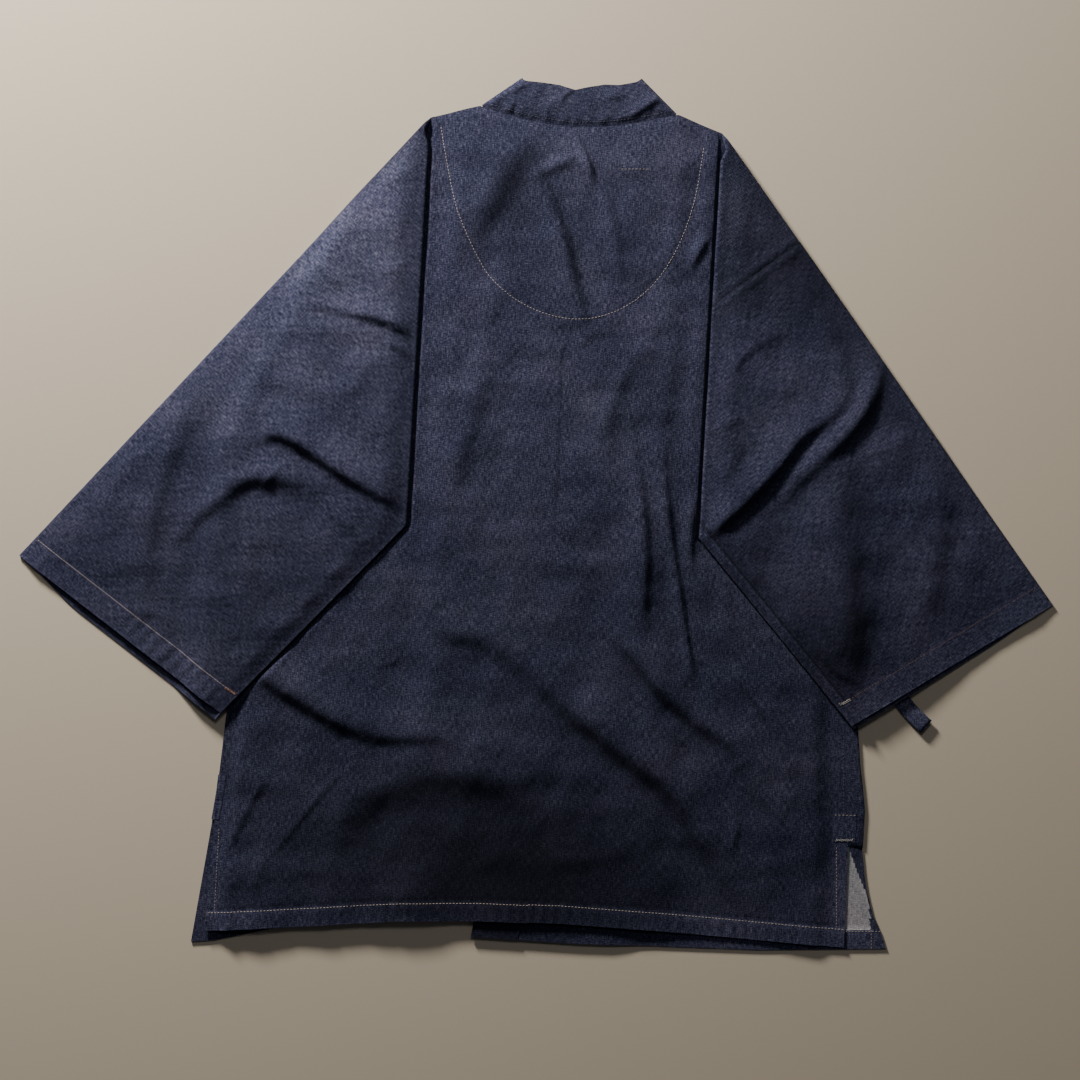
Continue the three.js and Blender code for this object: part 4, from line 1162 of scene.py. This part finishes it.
def collar_rows(side):
    fold_top = np.array([*side.collar_top[-1], 0])
    fold_foot = np.array([*side.neck_point, 0])
    line = (fold_foot - fold_top) / np.linalg.norm(fold_foot - fold_top)
    out = np.array([-line[1], line[0], 0])
    back_middle = FLOOR_MIDDLE + PITCH / 2 + BACK_RISE
    front_middle = BAND_THICK / 2
    radius = (back_middle - front_middle) / 2
    set_back = radius + BAND_THICK / 2
    foot_u = side.neck_point[0] - set_back * 1.2
    foot = np.array([foot_u, float(top_edge(side, foot_u)) + CLOSED_SEAM, 0])
    head = fold_top - out * set_back
    up = np.array([0, 0, 1.0])
    rows = []
    for share in spread(0, 0.95, NECK_STEPS):
        seam_u = share * foot[0] + CLOSED_SEAM / 2 * (1 - share)
        head_u = share * head[0] + CLOSED_SEAM / 2 * (1 - share)
        seam = [seam_u, top_edge(side, seam_u) + CLOSED_SEAM, back_middle]
        edge = [head_u, along(side.collar_top, head_u) - 3 * share, back_middle]
        rows.append((np.array(seam, float), np.array(edge, float), up))
    for angle in spread(0, math.pi, 16):
        reach = out * radius * math.sin(angle)
        height = up * (front_middle + radius * (1 + math.cos(angle)))
        normal = out * math.sin(angle) + up * math.cos(angle)
        rows.append((foot + reach + height, head + reach + height, normal))
    levels = [(-6, 26), (-25, 8), (-40, -13), (-55, -34), (-72, -57), (-90, -80), (-110, -105)]
    levels += [(v, v) for v in spread(-130, BAND_LAST_LEVEL, 90)]
    for seam_v, edge_v in levels:
        rows.append(flat_band_row(side, seam_v, edge_v, front_middle))
    seam_v = float(along(side.front_hem, band_seam(side, -780)))
    edge_v = float(along(side.front_hem, front_edge(side, -780)))
    for share in (0.5, 1):
        to_seam, to_edge = (BAND_LAST_LEVEL + (v - BAND_LAST_LEVEL) * share for v in (seam_v, edge_v))
        rows.append(flat_band_row(side, to_seam, to_edge, front_middle))
    return rows


def flat_band_row(side, seam_v, edge_v, height):
    seam = np.array([float(band_seam(side, seam_v)), seam_v, height])
    edge = np.array([float(front_edge(side, edge_v)), edge_v, height])
    return seam, edge, np.array([0, 0, -1.0])


ACROSS_BAND = 26  # cells across the band
BAND_STITCH = 0.12  # where its stitching runs, as a share of its width from the seam
BAND_RUB = 1.0
COLLAR_FOLDS = [
    ([(38, 6, 0), (56, 10, 1.2), (69, 20, 1.8), (80, 28, 1.2)], 1.6, 7),
    ([(-62, 0, 1), (-58, 14, 1.2), (-55, 26, 0)], 1.3, 5),
    ([(-40, 2, 0.8), (-38, 14, 0)], 1.2, 4),
    ([(-24, 2, 1), (-25, 12, 0.8), (-22, 22, 0)], 1.2, 4),
    ([(-14, 12, 0), (-10, 26, 1.2), (-2, 33, 1)], 2, 7),
    ([(-60, 24, 0), (-52, 33, 1.1), (-40, 37, 0)], 1.5, 5),
    ([(20, 22, 0), (34, 28, 1), (48, 30, 0)], 1.6, 6),
]


def band_lift(side, place, share):
    """The band's relief at the neck: level with the back at its seam, puckered by the stitches above."""
    x, y = side.sign * place[0], place[1]
    fold = float(folds_at(COLLAR_FOLDS, np.array([x]), np.array([y]))[0][0])
    pucker = 0.3 * math.sin(x / 2.1 + math.sin(x / 11)) * bell((share - 0.16) / 0.12)
    puff = 0.4 + 1.1 * math.sin(math.pi * share) + 0.35 * float(ripples(x, y, 26, 12)) + 1.3 * fold + pucker
    groove = 0.3 * bell((share - BAND_STITCH) / 0.035)
    return max(-0.1, puff) * smooth(share / 0.14) - 0.5 * (1 - smooth(share / 0.12)) - groove


def collar(side):
    """The band, and how far it runs along its middle."""
    rows = collar_rows(side)
    grid, cut_points = [], []
    run = 0
    previous = None
    for seam, edge, normal in rows:
        middle = (seam + edge) / 2
        run += 0 if previous is None else float(np.linalg.norm(middle - previous))
        previous = middle
        for share in spread(1, 0, ACROSS_BAND):
            place = seam + (edge - seam) * share
            if normal[2] < -0.99:
                place = place + [0, 0, float(front_rise(side, side.sign * place[0], place[1]))]
            elif normal[2] > 0.99:
                place = place + [0, 0, band_lift(side, place, share)]
            grid.append([*place, *normal])
            cut_points.append([share * BAND_WIDTH, run])
    grid = np.array(grid)
    wide = ACROSS_BAND + 1
    faces = []
    for i in range(len(rows) - 1):
        for j in range(ACROSS_BAND):
            a = i * wide + j
            faces.append([a, a + 1, a + wide + 1, a + wide])
    upper = grid[:, :3] + grid[:, 3:] * BAND_THICK / 2
    lower = grid[:, :3] - grid[:, 3:] * BAND_THICK / 2
    everything, rims = two_sided(faces, len(grid))
    name = f"collar_{side.name}_cloth"
    places = np.concatenate([upper, lower])
    slots = [OUTSIDE] * len(everything)
    return mesh_piece(name, side, places, cut_points, everything, slots, rims, COLLAR_FOLDS, BAND_RUB), run


band_run = {}
for side in (LEFT, RIGHT):
    piece, band_run[side.name] = collar(side)
    panels[f"collar_{side.name}"] = dress(piece, f"collar_{side.name}")
    print(side.name, "band runs", round(band_run[side.name]), "mm")

# %% [markdown]
# ## Ties and patches
# The ties are narrow tubes of the same denim, sewn flat, and follow a curve each. The patches are small
# pieces sewn over the tops of the side slits, where the seam would tear; the left one goes round the edge.
# All of them are made from small grids of their own.

# %% Ties and patches
TIE_FLAT = 90  # it starts to rise this far from its root, and is up after as far again
# painted light: the ties are made paler, as if lit, where the sleeve's shadow falls
TIE_LIGHT = 1.9


def bezier(points, count):
    """Points along a curve, and the way it runs at each."""
    t = np.linspace(0, 1, count)[:, None]
    a, b, c, d = (np.array(p, float) for p in points)
    place = (1 - t) ** 3 * a + 3 * (1 - t) ** 2 * t * b + 3 * (1 - t) * t**2 * c + t**3 * d
    ahead = 3 * (1 - t) ** 2 * (b - a) + 6 * (1 - t) * t * (c - b) + 3 * t**2 * (d - c)
    return place, ahead / np.linalg.norm(ahead, axis=1, keepdims=True)


def tie(name, points, raised):
    """A sewn-flat tube along a curve, its far end raised, and how long it is."""
    place, ahead = bezier(points, 60)
    across = np.stack([-ahead[:, 1], ahead[:, 0]], axis=1)
    columns = []
    for p, n in zip(place, across):
        columns.append([[*(p + n * s * TIE_WIDTH / 2), s] for s in spread(1, -1, 8)])
    points_3, faces = grid_surface(columns)
    x, y, s = points_3.T
    crown = TIE_THICK / 2 * np.sqrt(np.clip(1 - np.abs(s) ** 6, 0.05, 1))
    along_tie = np.clip((np.hypot(x - points[0][0], y - points[0][1]) - TIE_FLAT) / TIE_FLAT, 0, 1)
    middle = TIE_THICK / 2 + raised * along_tie
    upper = np.stack([x, y, middle + crown], axis=1)
    lower = np.stack([x, y, middle - crown], axis=1)
    everything = two_sided(faces, len(points_3))[0]
    places = np.concatenate([upper, lower])
    slots = [OUTSIDE] * len(everything)
    run = float(np.sum(np.linalg.norm(np.diff(place, axis=0), axis=1)))
    return mesh_piece(name, RIGHT, places, points_3, everything, slots, tone_and_light=TIE_LIGHT), run


SIDE_TIE = [(290.7, -398), (300, -450), (318, -514), (371, -555)]
BESIDE_EDGE = [(-386, 8.6), (-440, 10), (-500, 10.5), (-560, 11)]  # height on the edge, and how far beside it
EDGE_TIE = [(float(-front_edge(LEFT, v)) + away, v) for v, away in BESIDE_EDGE]
tie_run = {}
for name, path, raised in (("tie_right", SIDE_TIE, 3.0), ("tie_left", EDGE_TIE, 0.0)):
    piece, tie_run[name] = tie(f"{name}_cloth", path, raised)
    panels[name] = dress(piece, name)
    print(name, "runs", round(tie_run[name]), "mm")

PATCH_THICK = 0.3  # what shows of it over the cloth
PATCH_FLOOR = FLOOR_MIDDLE + PITCH / 2 + CLOTH / 2 + 0.04


def plain_patch(side, surface, upper, lower):
    name = f"patch_{side.name}_cloth"
    slots = [OUTSIDE] * len(surface[1])
    # the patches are made paler by painted light
    return wall(name, side, surface, upper, lower, slots, slots, tone_and_light=lambda u, v: side.patch_light)


def right_patch():
    columns = [[[u, v] for v in spread(-642, -670, 14)] for u in spread(287.5, 309.5, 12)]

    def at(rise):
        return lambda u, v: np.stack([u, v, PATCH_FLOOR + rise + 0 * u])

    return plain_patch(RIGHT, grid_surface(columns), at(PATCH_THICK), at(0))


def left_patch():
    """It goes round the edge: each profile is how far past the side and how high its columns lie."""
    top = PATCH_FLOOR + PATCH_THICK
    inner_top = top - PATCH_THICK
    outer = [(-7, top), (-4, top), (-2, top), (-0.2, top), (0.3, top - 0.3)]
    outer += [(PATCH_THICK, top - 1), (PATCH_THICK, 0.2)]
    inner = [(-7, inner_top), (-4, inner_top), (-2, inner_top), (-0.6, inner_top)]
    inner += [(-0.3, inner_top - 0.3), (0, inner_top - 0.6), (0, 0.2)]
    columns = [[[k, v] for v in spread(-640, -683, 18)] for k in range(len(outer))]

    def at(profile):
        def place(k, v):
            index = np.round(k).astype(int)
            away = np.array([row[0] for row in profile])[index]
            height = np.array([row[1] for row in profile])[index]
            return np.stack([along(LEFT.front_side, v) + 0.5 + away, v, height])

        return place

    return plain_patch(LEFT, grid_surface(columns), at(outer), at(inner))


panels["patch_right"] = dress(right_patch(), "patch_right")
panels["patch_left"] = dress(left_patch(), "patch_left")
print("pieces so far:", len(panels))

# %% [markdown]
# ## Stitches
# Topstitching is a row of short threads, each sunk a little at its ends. A seam's path is a curve that
# lies on the cloth; a geometry-node tree spaces points along it and sets one rounded stitch on each.

# %% Stitch tree
STITCH_PITCH = 3.2 * MM
STITCH_LENGTH = 2.3 * MM
STITCH_WIDTH = 0.52 * MM


def stitch_tree(material):
    tree = bpy.data.node_groups.new("row of stitches", "GeometryNodeTree")
    tree.interface.new_socket("Geometry", in_out="INPUT", socket_type="NodeSocketGeometry")
    for name, value in (("Pitch", STITCH_PITCH), ("Length", STITCH_LENGTH), ("Width", STITCH_WIDTH)):
        socket = tree.interface.new_socket(name, in_out="INPUT", socket_type="NodeSocketFloat")
        socket.default_value = value
    tree.interface.new_socket("Geometry", in_out="OUTPUT", socket_type="NodeSocketGeometry")
    start = add(tree, "NodeGroupInput")
    end = add(tree, "NodeGroupOutput")
    along_path = {"Curve": (start, "Geometry"), "Length": (start, "Pitch")}
    dots = add(tree, "GeometryNodeCurveToPoints", along_path, mode="LENGTH")
    sizes = {"X": (start, "Width"), "Y": (start, "Width"), "Z": (start, "Length")}
    size = add(tree, "ShaderNodeCombineXYZ", sizes)
    bead = add(tree, "GeometryNodeMeshIcoSphere", Subdivisions=2, Radius=0.5)
    shaped = add(tree, "GeometryNodeTransform", {"Geometry": (bead, "Mesh"), "Scale": (size, "Vector")})
    placed = add(
        tree,
        "GeometryNodeInstanceOnPoints",
        {"Points": (dots, "Points"), "Instance": (shaped, "Geometry"), "Rotation": (dots, "Rotation")},
    )
    real = add(tree, "GeometryNodeRealizeInstances", {"Geometry": (placed, "Instances")})
    finish = add(tree, "GeometryNodeSetMaterial", {"Geometry": (real, "Geometry")}, {"Material": material})
    tree.links.new(finish.outputs["Geometry"], end.inputs["Geometry"])
    return tree


def stitch_rows(name, rows, material, pitch=STITCH_PITCH, length=STITCH_LENGTH, width=STITCH_WIDTH):
    """rows are lists of points in part-frame mm, on the cloth."""
    curve = bpy.data.curves.new(name, "CURVE")
    curve.dimensions = "3D"
    for row in rows:
        spline = curve.splines.new("POLY")
        spline.points.add(len(row) - 1)
        for point, place in zip(spline.points, row):
            x, y, z = place
            point.co = ((x - JACKET_CENTRE[0]) * MM, (y - JACKET_CENTRE[1]) * MM, z * MM, 1)
    path = bpy.data.objects.new(name + "_path", curve)
    bpy.context.scene.collection.objects.link(path)
    modifier = path.modifiers.new("stitches", "NODES")
    modifier.node_group = stitch_tree(material)
    sizes = {"Pitch": pitch, "Length": length, "Width": width}
    for socket in modifier.node_group.interface.items_tree:
        if socket.in_out == "INPUT" and socket.name in sizes:
            modifier[socket.identifier] = sizes[socket.name]
    evaluated = path.evaluated_get(bpy.context.evaluated_depsgraph_get())
    mesh = bpy.data.meshes.new_from_object(evaluated)
    mesh.name = name
    piece = bpy.data.objects.new(name, mesh)
    bpy.context.scene.collection.objects.link(piece)
    path.modifiers.clear()
    bpy.data.objects.remove(path)
    mesh.polygons.foreach_set("use_smooth", np.ones(len(mesh.polygons), bool))
    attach(piece, "root")
    print(name, len(mesh.polygons), "faces")


# %% [markdown]
# ## Where the stitching runs
# Hems, cuffs, slits, patches, the right side seam, the curved yoke line and the collar's foot are stitched,
# and short zigzags called bar tacks hold the places that are pulled. Hems and cuffs are given on the flat
# cut and carried onto the cloth by the panel's own fold; the others are given where they lie on it.

# %% Stitch paths
ON_CLOTH = 0.12  # how far a stitch's middle stands over the cloth, mm


def on_back(side, u, v, extra=0.0):
    place = layer_place(side, u, v, (PITCH + CLOTH) / 2, back_rise_at(side, u, v) + ON_CLOTH + extra)
    place[0] *= side.sign
    return place.T


def on_sleeve(side, u, v):
    place = layer_place(side, u, v, (PITCH + CLOTH) / 2, top_lift(side, u, v) + ON_CLOTH)
    place[0] *= side.sign
    return place.T


def on_plan(points, per=3):
    """A row over both halves of the back, from points in the jacket's plan."""
    path = np.array(points, float)
    run = np.concatenate([[0], np.cumsum(np.linalg.norm(np.diff(path, axis=0), axis=1))])
    at = np.linspace(0, run[-1], int(run[-1] / per))
    x, y = (np.interp(at, run, path[:, k]) for k in (0, 1))
    sides = [RIGHT if px >= 0 else LEFT for px in x]
    return [on_back(side, np.array([abs(px)]), np.array([py]))[0] for side, px, py in zip(sides, x, y)]


TACK_STEP = 0.9  # from one turn of the zigzag to the next, mm
TACK_LENGTH = (1.5, 12)  # a cuff's bar tack, from and to this far along its stitching


def bar_tack(first, last, half_height=1.2):
    """A short zigzag between two points of the plan."""
    a, b = np.array(first, float), np.array(last, float)
    length = np.linalg.norm(b - a)
    across = np.array([a[1] - b[1], b[0] - a[0]]) / length * half_height
    count = int(length / TACK_STEP)
    return [a + (b - a) * k / count + across * (1 if k % 2 else -1) for k in range(count + 1)]


def at_height(points, height):
    return [[x, y, height] for x, y in points]


def band_row(side):
    """The stitching along the collar's foot, on one side of the neck."""
    row = []
    for seam, edge, _ in collar_rows(side)[: NECK_STEPS + 1]:
        place = seam + (edge - seam) * BAND_STITCH
        rise = band_lift(side, place, BAND_STITCH) + BAND_THICK / 2 + ON_CLOTH
        row.append([side.sign * place[0], place[1], place[2] + rise])
    return row


hem_rows, cuff_rows, tack_rows, band_rows = [], {}, {}, []
for side in (LEFT, RIGHT):
    u = np.linspace(1, along(side.side, -760.0) - 2, 160)
    hem_rows.append(on_back(side, u, along(side.hem, u) + HEM_DEPTH - 2, HEM_EXTRA))
    v = np.linspace(-3, side.underarm[-1][1] + 3, 120)
    cuff_rows[side.name] = [on_sleeve(side, along(side.cuff, v) - CUFF_HEM + 1, v)]
    low = side.underarm[-1][1]
    zigzag = np.array(bar_tack(*((low + run, 0) for run in TACK_LENGTH)))
    v = zigzag[:, 0]
    tack_rows[side.name] = on_sleeve(side, along(side.cuff, v) - CUFF_HEM + 1 + zigzag[:, 1], v)
    band_rows.append(band_row(side))

ON_PATCH = PATCH_FLOOR + PATCH_THICK + ON_CLOTH
ON_FRONT_HEM = CLOTH + TURNED_EXTRA + ON_CLOTH
pale_rows = [
    on_plan([(291.9, -676.5), (296.3, -752)]),  # beside the right slit
    on_plan([(-300, -693), (-299.5, -784)]),  # beside the left slit
    on_plan([(49.4, -39.5), (73.4, -38.1)]),  # holds the label's place inside the neck
    at_height([(289.5, -644.6), (307.5, -643.8)], ON_PATCH),
    at_height([(306, -755.5), (338, -753.8)], ON_FRONT_HEM),
    at_height([(330, -754), (331, -770)], ON_FRONT_HEM),
]
dark_rows = [on_plan([(292.5, -570), (296.5, -639)]), *band_rows]
white_tacks = [at_height(bar_tack((291, -668.4), (307, -667.7), 0.9), ON_PATCH), tack_rows["right"]]
orange_tacks = [tack_rows["left"], on_plan(bar_tack((-301, -775), (-294, -774.6)), 0.9)]
FINE = {"width": 0.42 * MM}
TACK = {"pitch": 1.7 * MM, "length": 1.8 * MM, "width": 0.44 * MM}
STITCHING = [
    ("hem_stitches", hem_rows, CREAM_THREAD, {}),
    ("yoke_stitches", [on_plan(soften(YOKE))], CREAM_THREAD, {}),
    ("cuff_stitches_left", cuff_rows["left"], CREAM_THREAD, {}),
    ("cuff_stitches_right", cuff_rows["right"], BROWN_THREAD, {}),
    ("slit_and_patch_stitches", pale_rows, CREAM_THREAD, FINE),
    ("seam_stitches", dark_rows, SLATE_THREAD, FINE),
    ("white_bar_tacks", white_tacks, WHITE_THREAD, TACK),
    ("orange_bar_tacks", orange_tacks, ORANGE_THREAD, TACK),
]
for name, rows, thread, sizes in STITCHING:
    stitch_rows(name, rows, thread, **sizes)

# %% [markdown]
# ## Floor and light
# The floor is a plain pale surface. A soft round light stands low beyond the collar, to the left, as a
# window would, so that it rakes over the folds and falls off towards the hem. A weak one overhead and a dim
# cool room open up the shadows. Round lights leave no hard edge on the floor when seen from low down.

# %% Floor and lights
FLOOR_REACH = 20.0  # m, from the middle to each side
FLOOR_DROP = 0.4 * MM  # just under the cloth, so that the two faces don't fight


def soft_floor():
    mesh = bpy.data.meshes.new("floor")
    corners = [(-1, -1), (1, -1), (1, 1), (-1, 1)]
    mesh.from_pydata([(x * FLOOR_REACH, y * FLOOR_REACH, 0) for x, y in corners], [], [(0, 1, 2, 3)])
    floor = bpy.data.objects.new("floor", mesh)
    bpy.context.scene.collection.objects.link(floor)
    material = bpy.data.materials.new("matt painted floor")
    material.use_nodes = True
    shader = material.node_tree.nodes["Principled BSDF"]
    shader.inputs["Base Color"].default_value = linear("#c9beac")
    shader.inputs["Roughness"].default_value = 0.7
    mesh.materials.append(material)
    floor.location = (0, 0, -FLOOR_DROP)


def soft_light(name, place, size, power, colour):
    data = bpy.data.lights.new(name, "POINT")
    data.shadow_soft_size = size / 2
    data.energy = power
    data.color = colour
    light = bpy.data.objects.new(name, data)
    light.location = place
    bpy.context.scene.collection.objects.link(light)


soft_floor()
soft_light("window", (-1.0, 1.5, 0.64), 0.34, 305, (1.0, 0.94, 0.86))
soft_light("ceiling", (-0.1, 0.85, 1.6), 0.5, 16, (1.0, 0.97, 0.93))
world = bpy.data.worlds.new("room")
world.use_nodes = True
world.node_tree.nodes["Background"].inputs["Color"].default_value = linear("#c3c6d0")
world.node_tree.nodes["Background"].inputs["Strength"].default_value = 0.05
bpy.context.scene.world = world
print("lights:", len(bpy.data.lights))

# %% [markdown]
# ## The end
# Cloth hardly stretches, so each panel's area has to be near that of its flat cut. A panel is given by about
# its widest and longest, and by an area that is rounded and the same for both sides, so it is a few per cent
# off either one.


print("the jacket is laid out")
